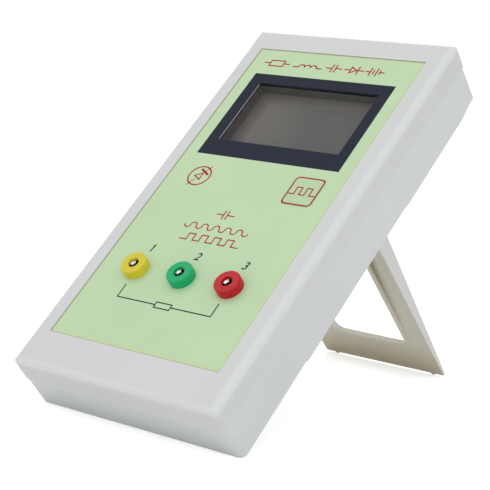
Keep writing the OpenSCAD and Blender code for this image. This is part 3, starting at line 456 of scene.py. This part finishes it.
def clear_sheet(name):
    """Clear acrylic window: see-through, with a polished face that mirrors more at a slant."""
    material, tree = new_material(name)
    place = add_node(tree, "TexCoord").outputs["Object"]
    smear = add_node(tree, "TexNoise", {"Vector": place, "Scale": 1 / (20 * MM), "Roughness": 0.4})
    gloss = add_node(tree, "MapRange", (smear, *SPREAD, 0.1, 0.16))
    through = add_node(tree, "BsdfTransparent", {"Color": linear("#F2F3F1")})
    mirror = add_node(tree, "BsdfGlossy", {"Roughness": gloss})
    slant = add_node(tree, "Fresnel", {"IOR": 1.2})
    inside = add_node(tree, "NewGeometry").outputs["Backfacing"]
    share = add_node(tree, "Mix", (inside, slant, 0.0))
    return finished(material, add_node(tree, "MixShader", (share, through, mirror)))


def display_polariser(name, glass, warm):
    """Satin polariser over the display's glass: neutral grey, browner to its left.

    It is darker round the live area: partly the display's own dark border, partly painted shade of
    the window's walls, along the left and top.
    """
    material, tree = new_material(name)
    place = case_place(tree)
    parts = add_node(tree, "SeparateXYZ", [place]).outputs
    warm_end, glass_start = (x * MM for x in WARM_X)
    side = add_node(tree, "MapRange", (parts["X"], warm_end, glass_start, 0, 1))
    cloud = add_node(tree, "TexNoise", {"Vector": place, "Scale": 1 / (30 * MM), "Detail": 1})
    tone = add_node(tree, "Mix", (side, warm, glass), **COLOURS)
    # Darker border round the live area: partly the display's own border, partly painted shade of
    # the window's walls
    live = border(tree, place, LIVE_SIZE, LIVE_MIDDLE, *LIVE_BORDER_AND_SHADE_BAND)
    tone = add_node(tree, "Mix", (live, tone, shaded(warm, 0.8)), **COLOURS)
    gloss = add_node(tree, "MapRange", (cloud, *SPREAD, 0.45, 0.5))
    surface = {"Base Color": tone, "Roughness": gloss, "IOR": 1.49, "Specular IOR Level": 0.2}
    return finished(material, add_node(tree, "BsdfPrincipled", surface))


def circuit_laminate(name, colour):
    """Green solder mask on glass-epoxy: semi-gloss, its weave and copper tracks faintly raised.

    The weave is drawn many times as coarse as the real cloth, which would be too fine to show.
    """
    material, tree = new_material(name)
    place = case_place(tree)
    repeat = math.tau / 10  # of diagonal bands at a scale of 1
    weave = add_node(
        tree, "TexWave", {"Vector": place, "Scale": repeat / WEAVE_PITCH, "Distortion": 0.3},
        wave_type="BANDS", bands_direction="DIAGONAL",
    ).outputs["Fac"]
    track = add_node(
        tree, "TexBrick",
        {
            "Vector": place, "Scale": 1, "Mortar Size": 0.3 * MM, "Mortar Smooth": 0.2,
            "Brick Width": 9 * MM, "Row Height": PIN_PITCH, "Bias": 0,
        },
        offset=0.5,
    ).outputs["Fac"]
    tone = add_node(tree, "Mix", (track, colour, shaded(colour, 1.7)), **COLOURS)
    height = add_node(tree, "Math", (track, weave), operation="ADD")
    bump = add_node(tree, "Bump", {"Height": height, "Distance": 0.03 * MM, "Strength": 0.5})
    gloss = add_node(tree, "MapRange", (weave, 0, 1, 0.28, 0.4))
    surface = {"Base Color": tone, "Roughness": gloss, "IOR": 1.55, "Normal": bump}
    return finished(material, add_node(tree, "BsdfPrincipled", surface))


def closed_cell_foam(name, colour):
    """Closed-cell foam: dull, dark, pitted with small open cells where it was cut."""
    material, tree = new_material(name)
    place = add_node(tree, "TexCoord").outputs["Object"]
    cells = add_node(
        tree, "TexVoronoi", {"Vector": place, "Scale": 1 / (0.9 * MM)}, feature="DISTANCE_TO_EDGE"
    )
    cloud = add_node(tree, "TexNoise", {"Vector": place, "Scale": 1 / (6 * MM), "Detail": 3})
    walls = add_node(tree, "MapRange", (cells, 0, 0.12, 0, 1))
    tone = add_node(tree, "Mix", (walls, shaded(colour, 1.8), colour), **COLOURS)
    gloss = add_node(tree, "MapRange", (cloud, *SPREAD, 0.8, 0.95))
    bump = add_node(
        tree, "Bump", {"Height": cells, "Distance": 0.2 * MM, "Strength": 0.8}, invert=True
    )
    surface = {"Base Color": tone, "Roughness": gloss, "Normal": bump, "Sheen Weight": 0.2}
    return finished(material, add_node(tree, "BsdfPrincipled", surface))


def give(material, *names):
    """Puts a material on every slot of CAD nodes."""
    for name in names:
        for slot in frame["nodes"][name].material_slots:
            slot.material = material


# ---------------------------------------------------------------- meshes


def new_piece(name, bm, material, body, matrix=CASE, smooth=None):
    """Makes a mesh object of a bmesh in the case's directions and mm, with its material and body.

    Smooth is the angle in degrees above which an edge stays sharp.
    """
    bmesh.ops.remove_doubles(bm, verts=bm.verts, dist=1e-6)
    bmesh.ops.transform(bm, matrix=matrix @ Matrix.Scale(MM, 4), verts=bm.verts)
    bmesh.ops.recalc_face_normals(bm, faces=bm.faces)
    for face in bm.faces:
        face.smooth = smooth is not None
    mesh = bpy.data.meshes.new(name)
    bm.to_mesh(mesh)
    bm.free()
    if smooth is not None:
        mesh.set_sharp_from_angle(angle=math.radians(smooth))
    mesh.materials.append(material)
    piece = bpy.data.objects.new(name, mesh)
    bpy.context.scene.collection.objects.link(piece)
    if body:
        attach(piece, body)
    return piece


def spun(profile):
    """A closed profile of radii and heights, turned once round the upright axis."""
    bm = bmesh.new()
    verts = [bm.verts.new((radius, 0, height)) for radius, height in profile]
    edges = [bm.edges.new(pair) for pair in zip(verts, verts[1:] + verts[:1])]
    bmesh.ops.spin(
        bm, geom=verts + edges, cent=(0, 0, 0), axis=(0, 0, 1), angle=math.tau, steps=64,
        use_merge=True,
    )
    bmesh.ops.recalc_face_normals(bm, faces=bm.faces)
    return bm


def ease_ring(bm, radius, height, offset, segments):
    """Rounds the ring edge that lies at a given radius and height."""
    ring = [
        edge for edge in bm.edges
        if all(math.dist((v.co.xy.length, v.co.z), (radius, height)) < 0.01 for v in edge.verts)
    ]
    bmesh.ops.bevel(
        bm, geom=ring, offset=offset, segments=segments, profile=0.5, affect="EDGES", material=-1
    )


def solid_sheet(bm, bottom, thickness):
    """Gives flat shapes a thickness, standing on a height."""
    bmesh.ops.translate(bm, vec=(0, 0, bottom), verts=bm.verts)
    made = bmesh.ops.extrude_face_region(bm, geom=bm.faces[:])
    lifted = [e for e in made["geom"] if isinstance(e, bmesh.types.BMVert)]
    bmesh.ops.translate(bm, vec=(0, 0, thickness), verts=lifted)


def join(bm, part, matrix):
    """Adds one bmesh to another, moved by a matrix."""
    bmesh.ops.transform(part, matrix=matrix, verts=part.verts)
    mesh = bpy.data.meshes.new("part")
    part.to_mesh(mesh)
    part.free()
    bm.from_mesh(mesh)
    bpy.data.meshes.remove(mesh)


def moved(x, y, turn=0.0):
    """A shift on the face, after a turn in degrees."""
    return Matrix.Translation((x, y, 0)) @ Matrix.Rotation(math.radians(turn), 4, "Z")


def hollow_out(part, line):
    """Leaves only a border of a line's width of a flat face."""
    inner = part.faces[:]
    bmesh.ops.inset_region(
        part, faces=inner, thickness=line, use_boundary=True, use_even_offset=True
    )
    bmesh.ops.delete(part, geom=inner, context="FACES")


def add_ring(bm, size, corner, line, place):
    """A rounded rectangle's outline, its line inside the size."""
    part = bmesh.new()
    bmesh.ops.create_grid(part, x_segments=1, y_segments=1, size=0.5)
    bmesh.ops.scale(part, vec=(*size, 1), verts=part.verts)
    if corner > 0:
        bmesh.ops.bevel(
            part, geom=part.verts[:], offset=corner, segments=6, profile=0.5, affect="VERTICES",
            material=-1,
        )
    hollow_out(part, line)
    join(bm, part, place)


def add_triangle(bm, radius, line, place):
    """An outlined triangle that points along X."""
    part = bmesh.new()
    bmesh.ops.create_circle(part, cap_ends=True, radius=radius, segments=3)
    hollow_out(part, line)
    join(bm, part, place @ moved(0, 0, turn=-90))


def add_bar(bm, length, width, place):
    """A straight stroke along X about its middle."""
    part = bmesh.new()
    bmesh.ops.create_grid(part, x_segments=1, y_segments=1, size=0.5)
    bmesh.ops.scale(part, vec=(length, width, 1), verts=part.verts)
    join(bm, part, place)


def add_arc(bm, radius, line, start, sweep, place, steps):
    """An arc of a given line width, from a start angle and over a sweep in degrees."""
    part = bmesh.new()
    inner = part.verts.new((radius - line / 2, 0, 0))
    outer = part.verts.new((radius + line / 2, 0, 0))
    edge = part.edges.new((inner, outer))
    turn = Matrix.Rotation(math.radians(start), 3, "Z")
    bmesh.ops.rotate(part, cent=(0, 0, 0), matrix=turn, verts=part.verts)
    bmesh.ops.spin(
        part, geom=[inner, outer, edge], cent=(0, 0, 0), axis=(0, 0, 1), angle=math.radians(sweep),
        steps=steps, use_merge=abs(sweep) >= 360,
    )
    bmesh.ops.remove_doubles(part, verts=part.verts, dist=1e-5)
    join(bm, part, place)


def add_pulses(bm, line, left, low, high, pitch, count):
    """A row of square pulses: flats at two heights in turn, joined by upright strokes."""
    for step in range(count):
        start = left + step * pitch
        add_bar(bm, pitch + line, line, moved(start + pitch / 2, high if step % 2 else low))
        if step:
            add_bar(bm, high - low, line, moved(start, (high + low) / 2, turn=90))


def print_piece(name, bm, material, thickness, body="case", bottom=FACE_TOP):
    """Turns flat shapes into a thin layer of ink on the label."""
    solid_sheet(bm, bottom + INK_LIFT, thickness / MM)
    new_piece(name, bm, material, body)


def merged_copy(node):
    """A bmesh of a CAD node's mesh with its loose triangles merged, in mm."""
    bm = bmesh.new()
    bm.from_mesh(frame["nodes"][node].data)
    bmesh.ops.remove_doubles(bm, verts=bm.verts, dist=1e-6)
    bmesh.ops.transform(bm, matrix=Matrix.Scale(1 / MM, 4), verts=bm.verts)
    return bm


# ---------------------------------------------------------------- operators


class TESTER_OT_stage(bpy.types.Operator):
    """Adds the floor, the lamps, the world light and the camera"""

    bl_idname = "tester.stage"
    bl_label = "Stage"

    def execute(self, context):
        chosen = settings(context, "stage")
        scene = context.scene
        scene.view_settings.view_transform = "Standard"

        bm = bmesh.new()
        bmesh.ops.create_grid(bm, x_segments=2, y_segments=2, size=FLOOR_REACH)
        paper = self.matt_paper("matt white paper", chosen.floor)
        new_piece("floor", bm, paper, None, Matrix.Identity(4))

        world = bpy.data.worlds.new("soft studio")
        world.use_nodes = True
        tree = world.node_tree
        tree.nodes.clear()
        strength = add_node(tree, "MapRange", (self.seen(tree), 0, 1, chosen.sky, 1))
        sky = add_node(tree, "Background", {"Color": (1, 1, 1), "Strength": strength})
        add_node(tree, "OutputWorld", {"Surface": sky})
        scene.world = world

        self.lamp("main lamp", (-0.45, -0.35, 1.1), size=0.9, power=chosen.lamp, colour="#FFFFFF")
        self.lamp("fill lamp", (0.9, -0.7, 0.6), size=0.8, power=chosen.fill, colour="#E8F1FF")

        camera = bpy.data.cameras.new("camera")
        camera.lens = chosen.focal
        camera.sensor_width = 36
        camera.clip_start = 0.01
        seat = bpy.data.objects.new("camera", camera)
        scene.collection.objects.link(seat)
        right, up = Vector(CAMERA_RIGHT), Vector(CAMERA_UP)
        turn = Matrix((right, up, right.cross(up))).transposed().to_4x4()
        seat.matrix_world = CASE @ Matrix.Translation(Vector(CAMERA_PLACE) * MM) @ turn
        scene.camera = seat
        return {"FINISHED"}

    def lamp(self, name, place, size, power, colour):
        """A square area lamp, placed in metres and turned to the middle of the object."""
        light = bpy.data.lights.new(name, "AREA")
        light.color = linear(colour)
        light.size = size
        light.energy = power
        lamp = bpy.data.objects.new(name, light)
        bpy.context.scene.collection.objects.link(lamp)
        lamp.location = place
        middle = Vector((0, 0, 0.06))
        aim = middle - lamp.location
        lamp.rotation_euler = aim.to_track_quat("-Z", "Y").to_euler()

    def seen(self, tree):
        """1 for rays from the camera, a mirror or clear plastic, 0 for those that light things."""
        rays = add_node(tree, "LightPath").outputs
        seen = rays["Is Camera Ray"]
        for other in ("Is Transmission Ray", "Is Glossy Ray"):
            seen = add_node(tree, "Math", (seen, rays[other]), operation="MAXIMUM")
        return seen

    def matt_paper(self, name, colour):
        """Matt white paper: shows the object's soft shadow, and white to the camera elsewhere."""
        material, tree = new_material(name)
        place = add_node(tree, "TexCoord").outputs["Object"]
        fibre = add_node(tree, "TexNoise", {"Vector": place, "Scale": 1 / (3 * MM), "Detail": 3})
        cloud = add_node(tree, "MapRange", (fibre, *SPREAD, 0, 1))
        tone = add_node(tree, "Mix", (cloud, shaded(colour, 0.985), colour), **COLOURS)
        distance = add_node(tree, "VectorMath", [place], operation="LENGTH")
        whiter = add_node(tree, "MapRange", (distance, 0.15, 0.5, 0.5, 1))
        strength = add_node(tree, "Math", (self.seen(tree), whiter), operation="MULTIPLY")
        matt = add_node(tree, "BsdfDiffuse", {"Color": tone})
        glow = add_node(tree, "Emission", {"Strength": strength})
        return finished(material, add_node(tree, "AddShader", (matt, glow)))


class TESTER_OT_housing(bpy.types.Operator):
    """Finishes the covers, the battery door and the case screws"""

    bl_idname = "tester.housing"
    bl_label = "Housing"

    def execute(self, context):
        chosen = settings(context, "housing")
        relief = {"grain": chosen.grain, "depth": 0.03 * MM}
        front = moulded_plastic(
            "moulded ABS, front cover", chosen.front, 0.42, seam=SEAM_HEIGHT, **relief
        )
        rear = moulded_plastic("moulded ABS, rear cover", chosen.rear, 0.45, **relief)
        steel = plated_metal("zinc-plated screw steel", linear("#B9BCBE"), 0.3, 1.5 * MM)
        give(front, "front_cover")
        give(rear, "rear_cover", "battery_door")
        give(steel, "case_screws", "board_screws", "display_screws")
        return {"FINISHED"}


class TESTER_OT_kickstand(bpy.types.Operator):
    """Finishes the kickstand, and makes its frame with the channels run out"""

    bl_idname = "tester.kickstand"
    bl_label = "Kickstand"

    def execute(self, context):
        chosen = settings(context, "housing")
        material = yellowed_plastic(
            "yellowed ABS, kickstand", chosen.stand, chosen.yellowed, chosen.foot, chosen.grain
        )
        give(material, "kickstand")
        bm = merged_copy("kickstand")
        self.run_out(bm)
        stand = new_piece("kickstand_frame", bm, material, "stand", Matrix.Identity(4), smooth=8)
        large = 20 * MM * MM
        for face in stand.data.polygons:
            face.use_smooth = face.area < large
        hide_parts("kickstand")
        return {"FINISHED"}

    def run_out(self, bm):
        """Widens the ridge beside the window, and lets the channels run out near the foot."""
        bm.normal_update()
        cross_bar = [
            face for face in bm.faces
            if face.normal.y < -0.5 and abs(face.calc_center_median().x) < 15
        ]
        flat = max(cross_bar, key=lambda face: face.calc_area())
        outward, level = flat.normal.copy(), flat.calc_center_median()
        near, far = CAD_CHANNEL_X
        low, high = CHANNEL_HEIGHTS
        slack = 0.1
        ends = []
        for vert in bm.verts:
            depth = (level - vert.co).dot(outward)
            in_channel = near - slack < abs(vert.co.x) < far + slack and low < vert.co.z < high
            if not in_channel or not -slack / 2 < depth < CHANNEL_DEPTH:
                continue
            if abs(vert.co.x) < (near + far) / 2:
                vert.co.x += math.copysign(CHANNEL_X[0] - near, vert.co.x)
            if vert.co.z < RUN_OUT_HEIGHT:
                vert.co += outward * depth
                ends.append(vert)
        bmesh.ops.remove_doubles(bm, verts=ends, dist=0.08)


class TESTER_OT_label(bpy.types.Operator):
    """Finishes the label and lays its print on it"""

    bl_idname = "tester.label"
    bl_label = "Label and print"

    def execute(self, context):
        chosen = settings(context, "label")
        film = label_film("screen-printed polyester label", chosen.ground, chosen.edge, chosen.rim)
        give(film, "front_label")
        navy = printed_ink("navy screen ink", chosen.navy)
        dark = printed_ink("dark green screen ink", chosen.dark)
        red = printed_ink("red screen ink", chosen.red)
        prints = {
            "display_surround": (self.surround, navy), "bracket": (self.bracket, dark),
            "digits": (self.digits, dark), "emblem": (self.emblem, red),
            "title_row": (self.title_row, red), "wave_rows": (self.wave_rows, red),
        }
        for name, (draw, ink) in prints.items():
            bm = bmesh.new()
            draw(bm, chosen)
            print_piece(f"print_{name}", bm, ink, chosen.ink)
        return {"FINISHED"}

    def surround(self, bm, _):
        """The dark frame printed round the window."""
        (x, y), (width, length) = WINDOW_PLACE, WINDOW_SIZE
        outer_width, outer_length = SURROUND_SIZE
        left = SURROUND_PLACE[0] - outer_width / 2
        bottom = SURROUND_PLACE[1] - outer_length / 2
        across = [left, x - width / 2, x + width / 2, left + outer_width]
        along = [bottom, y - length / 2, y + length / 2, bottom + outer_length]
        cells = len(across) - 1
        bmesh.ops.create_grid(bm, x_segments=cells, y_segments=cells, size=0.5)
        for vert in bm.verts:
            column, row = (round((place + 0.5) * cells) for place in vert.co.xy)
            vert.co = (across[column], along[row], 0)
        middle = min(bm.faces, key=lambda f: (f.calc_center_median() - Vector((x, y, 0))).length)
        bmesh.ops.delete(bm, geom=[middle], context="FACES_ONLY")

    def bracket(self, bm, chosen):
        """The bracket under the sockets, with a resistor in its gap."""
        line = chosen.line / MM
        bottom, top, half, gap = -53.0, -47.1, 21.1, 4.5
        leg = top - bottom + line / 2
        for side in (-1, 1):
            add_bar(bm, leg, line, moved(side * half, (top + bottom - line / 2) / 2, turn=90))
            add_bar(bm, half - gap, line, moved(side * (half + gap) / 2, bottom))
            add_bar(bm, 1.2, line, moved(side * (gap - 0.4), bottom))
        add_ring(bm, (2 * gap - 1.6, 2.9), 0, line, moved(0, bottom))

    def digits(self, bm, chosen):
        """The digits 1, 2 and 3 above the sockets."""
        cap_share = 0.7  # a digit's height in the font's size
        baseline = -31.2
        for number, x in enumerate(SOCKETS.values(), 1):
            curve = bpy.data.curves.new("digit", "FONT")
            curve.body = str(number)
            curve.size = chosen.digit / MM / cap_share
            curve.shear = 0.2
            curve.offset = 0.06
            curve.align_x = "CENTER"
            curve.resolution_u = 6
            text = bpy.data.objects.new("digit", curve)
            mesh = bpy.data.meshes.new_from_object(text)
            mesh.transform(moved(x, baseline))
            bm.from_mesh(mesh)
            bpy.data.meshes.remove(mesh)
            bpy.data.objects.remove(text)
        bmesh.ops.remove_doubles(bm, verts=bm.verts, dist=1e-5)
        flag_of_one = moved(SOCKETS["yellow"] + 0.35, baseline + chosen.digit / MM - 0.65, turn=50)
        add_bar(bm, 1.3, 0.4, flag_of_one)

    def emblem(self, bm, chosen):
        """A ring with a diode in it, whose leads cross the ring."""
        line = chosen.line / MM
        place = moved(-23.8, 7.1, turn=60)
        radius = 4.7
        add_arc(bm, radius, line * 1.2, 0, 360, place, 64)
        add_triangle(bm, 2.5, line, place @ moved(-0.2, 0))
        add_bar(bm, 5, line * 1.8, place @ moved(2.5, 0, turn=90))
        for side in (-1, 1):
            add_bar(bm, 4, line * 0.7, place @ moved(side * 4.1, 0))

    def title_row(self, bm, chosen):
        """Circuit symbols where the title stands: resistor, coil, capacitor, diode and battery."""
        line = chosen.line / MM * 1.15
        row, coil_row = 69.6, 68.7
        leads = (  # length, height of the row, places along it
            (2.8, row, (-30.8, -21.2)), (2.7, coil_row, (-16.6, -5.6)), (3, row, (-1.3, 3.3)),
            (2.6, row, (7.2, 13.4)), (2, row, (16.5, 22.9)),
        )
        plates = {0.2: 4.4, 1.8: 4.4, 12: 4.4, 17.6: 4.4, 19: 2.2, 20.4: 4.4, 21.8: 2.2}
        add_ring(bm, (7, 3.6), 0, line, moved(-26, row))
        add_triangle(bm, 2.4, line, moved(9.6, row))
        for x in (-13.9, -11.1, -8.3):
            add_arc(bm, 1.4, line, 0, 180, moved(x, coil_row), 12)
        for length, y, places in leads:
            for x in places:
                add_bar(bm, length, line, moved(x, y))
        for x, height in plates.items():
            add_bar(bm, height, line, moved(x, row, turn=90))

    def wave_rows(self, bm, chosen):
        """A capacitor over a row of round waves and a row of square pulses."""
        line = chosen.line / MM
        for x in (-1.5, 0.1):
            add_bar(bm, 4.2, line, moved(x, -9.3, turn=90))
        for x in (-3.1, 1.7):
            add_bar(bm, 3.2, line, moved(x, -9.3))
        radius = 1.3
        for step in range(11):
            x = -13.6 + step * 2 * radius
            sweep = 180 if step % 2 else -180
            add_arc(bm, radius, line, 180, -sweep, moved(x, -16.0), 12)
        add_pulses(bm, line, left=-13.0, low=-22.9, high=-19.9, pitch=2.9, count=9)


class TESTER_OT_display(bpy.types.Operator):
    """Finishes the window and the display, and makes the window's lining and cut edge"""

    bl_idname = "tester.display"
    bl_label = "Display"

    def execute(self, context):
        chosen = settings(context, "display")
        glass = display_polariser("satin display polariser", chosen.glass, chosen.warm)
        dark = moulded_plastic("dark display frame", linear("#5C5955"), 0.4, 0.5 * MM)
        guide = moulded_plastic("light guide polycarbonate", linear("#E5E4DC"), 0.35, 0.6 * MM)
        give(clear_sheet("polished clear acrylic"), "display_window")
        give(glass, "display_glass")
        give(dark, "display_frame")
        give(guide, "display_backlight")
        self.lining(printed_ink("navy window lining", settings(context, "label").navy))
        self.cut_edge(moulded_plastic("frosted cut acrylic", linear("#B4B7BE"), 0.5))
        return {"FINISHED"}

    def lining(self, ink):
        """The thin dark lining on the walls of the label's window, a dark sheet standing in for the
        shade on its top wall.
        """
        bm = bmesh.new()
        add_ring(bm, WINDOW_SIZE, 0, LINING_WIDTH, moved(*WINDOW_PLACE))
        solid_sheet(bm, EDGE_HEIGHT, FACE_TOP - EDGE_HEIGHT)
        new_piece("window_lining", bm, ink, "case")

    def cut_edge(self, frosted):
        """The strip of the clear sheet's sawn edge that shows to the left."""
        (x, y), (width, length) = WINDOW_PLACE, WINDOW_SIZE
        bm = bmesh.new()
        add_bar(bm, length, EDGE_WIDTH, moved(x - (width - EDGE_WIDTH) / 2, y, turn=90))
        solid_sheet(bm, EDGE_HEIGHT, EDGE_WIDTH)
        new_piece("window_cut_edge", bm, frosted, "case")


class TESTER_OT_key(bpy.types.Operator):
    """Finishes the embossed key and the switch under it, and lays the key's print on it"""

    bl_idname = "tester.key"
    bl_label = "Test key"

    def execute(self, context):
        chosen = settings(context, "label")
        face = shaded(chosen.ground, 0.93)
        film = label_film("screen-printed polyester key", face, face, face)
        switch = moulded_plastic("black switch plastic", linear("#26272A"), 0.4)
        plunger = moulded_plastic("ivory acetal plunger", linear("#E2DED0"), 0.35)
        give(film, "test_key")
        give(switch, "switch_body")
        give(plunger, "key_plunger")
        red = printed_ink("red key ink", chosen.red)
        line = chosen.line / MM
        x, y = KEY_PLACE
        bm = bmesh.new()
        add_ring(bm, KEY_SIZE, KEY_CORNER, line * 1.1, moved(x, y))
        add_pulses(bm, line, left=x - 5.5, low=y - 1.7, high=y + 1.7, pitch=2.2, count=5)
        print_piece("print_key", bm, red, chosen.ink, "key", KEY_TOP)
        return {"FINISHED"}


class TESTER_OT_sockets(bpy.types.Operator):
    """Makes the sockets' collars and spring leaves, and finishes their contacts and nuts"""

    bl_idname = "tester.sockets"
    bl_label = "Test sockets"

    def execute(self, context):
        chosen = settings(context, "sockets")
        nickel = plated_metal("bright nickel plating", linear("#D5D3CB"), 0.15, 1.2 * MM)
        give(nickel, "socket_contacts", "socket_nuts")
        for colour, x in SOCKETS.items():
            nylon = glossy_plastic(f"{colour} moulded nylon", getattr(chosen, colour))
            seat = CASE @ moved(x * MM, SOCKET_ROW * MM)
            collar = new_piece(f"collar_{colour}", self.collar(), nylon, "case", seat, smooth=40)
            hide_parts(f"socket_{colour}")
            leaf = new_piece(f"contact_leaf_{colour}", self.leaf(), nickel, "case", seat, smooth=60)
        return {"FINISHED"}

    def leaf(self):
        """The contact's spring leaf: a sector of its wall, bowed inwards; the mesh stays fixed
        where a plug would push it back.
        """
        wall, root, bow = 1.99, 1.93, 1.2
        bottom, rim, top, bow_height = -1.6, 1.9, 1.96, 1.2
        bm = spun([
            (wall, bottom), (wall, rim), (root, top), (bow + 0.15, bow_height + 0.3),
            (bow, bow_height), (bow + 0.05, bow_height - 0.6), (root, bottom),
        ])
        for angle, side in ((LEAF_ANGLES[0], -1), (LEAF_ANGLES[1], 1)):
            turn = math.radians(angle)
            bmesh.ops.bisect_plane(
                bm, geom=bm.verts[:] + bm.edges[:] + bm.faces[:], dist=1e-4, plane_co=(0, 0, 0),
                plane_no=(-side * math.sin(turn), side * math.cos(turn), 0), clear_outer=True,
            )
        bmesh.ops.holes_fill(bm, edges=bm.edges)
        return bm

    def collar(self):
        """A collar on a barrel, bored for its contact, with a faint ring groove round its mouth."""
        outer, barrel, bore, mouth = 5.0, 4.0, 2.72, 2.05
        top, under, shoulder, bottom = 3.2, FACE_TOP + 0.01, 2.0, -12.3
        groove, groove_w, groove_depth = 3.5, 0.25, 0.06
        bm = spun([
            (bore, bottom), (bore, shoulder), (mouth, shoulder), (mouth, top),
            (groove - groove_w, top), (groove - groove_w / 2, top - groove_depth),
            (groove + groove_w / 2, top - groove_depth), (groove + groove_w, top),
            (outer, top), (outer, under), (barrel, under), (barrel, bottom),
        ])
        ease_ring(bm, outer, top, offset=0.55, segments=4)
        ease_ring(bm, mouth, top, offset=0.35, segments=3)
        return bm


class TESTER_OT_circuit_board(bpy.types.Operator):
    """Finishes the boards and the parts on them"""

    bl_idname = "tester.circuit_board"
    bl_label = "Circuit board"

    def execute(self, context):
        laminate = circuit_laminate("green glass-epoxy board", linear("#12643A"))
        epoxy = moulded_plastic("black epoxy moulding", linear("#232426"), 0.5)
        can = plated_metal("drawn can steel", linear("#C9CACB"), 0.25, 2 * MM)
        give(laminate, "main_board", "display_board")
        give(epoxy, "microcontroller", "chip_socket", "voltage_regulator", "display_header")
        give(can, "crystal")
        give(glossy_plastic("capacitor shrink sleeve", linear("#24303E")), "capacitors")
        give(glossy_plastic("resistor lacquer", linear("#C9B083")), "resistors")
        return {"FINISHED"}


class TESTER_OT_battery(bpy.types.Operator):
    """Finishes the battery, its snap and leads, and makes the foam pad on its door"""

    bl_idname = "tester.battery"
    bl_label = "Battery"

    def execute(self, context):
        jacket = plated_metal("painted steel battery jacket", linear("#4A5058"), 0.35, 4 * MM)
        give(jacket, "battery")
        black = glossy_plastic("black snap PVC", linear("#232325"))
        give(black, "battery_snap", "battery_lead_black")
        give(glossy_plastic("red lead PVC", linear("#B02428")), "battery_lead_red")
        foam = closed_cell_foam("closed-cell foam", linear("#3A3A3C"))
        bm = merged_copy("battery_pad")
        bmesh.ops.dissolve_limit(
            bm, angle_limit=math.radians(2), use_dissolve_boundaries=False, verts=bm.verts,
            edges=bm.edges,
        )
        corners = [edge for edge in bm.edges if edge.calc_face_angle(0) > math.radians(30)]
        bmesh.ops.bevel(
            bm, geom=corners, offset=0.5, segments=3, profile=0.5, affect="EDGES", material=-1
        )
        pad = new_piece("foam_pad", bm, foam, "battery_hatch", Matrix.Identity(4))
        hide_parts("battery_pad")
        return {"FINISHED"}


class TESTER_PT_panel(bpy.types.Panel):
    """Lists the tester's pieces in the sidebar"""

    bl_idname = "TESTER_PT_panel"
    bl_label = "Component Tester"
    bl_space_type = "VIEW_3D"
    bl_region_type = "UI"
    bl_category = "Component Tester"

    def draw(self, context):
        for operator in OPERATORS:
            self.layout.operator(operator.bl_idname)
        for group in GROUPS:
            box = self.layout.box()
            box.label(text=group.title())
            chosen = settings(context, group)
            for name in chosen.__annotations__:
                box.prop(chosen, name)


GROUPS = {
    "housing": HousingSettings,
    "label": LabelSettings,
    "display": DisplaySettings,
    "sockets": SocketSettings,
    "stage": StageSettings,
}
OPERATORS = (
    TESTER_OT_stage,
    TESTER_OT_housing,
    TESTER_OT_kickstand,
    TESTER_OT_label,
    TESTER_OT_display,
    TESTER_OT_key,
    TESTER_OT_sockets,
    TESTER_OT_circuit_board,
    TESTER_OT_battery,
)
CLASSES = (*GROUPS.values(), *OPERATORS, TESTER_PT_panel)


def register():
    for kind in CLASSES:
        bpy.utils.register_class(kind)
    for name, group in GROUPS.items():
        setattr(bpy.types.Scene, "tester_" + name, PointerProperty(type=group))


def unregister():
    for name in GROUPS:
        delattr(bpy.types.Scene, "tester_" + name)
    for kind in reversed(CLASSES):
        bpy.utils.unregister_class(kind)


def main():
    register()
    for operator in OPERATORS:
        family, name = operator.bl_idname.split(".")
        getattr(getattr(bpy.ops, family), name)()


if __name__ == "__main__":
    main()
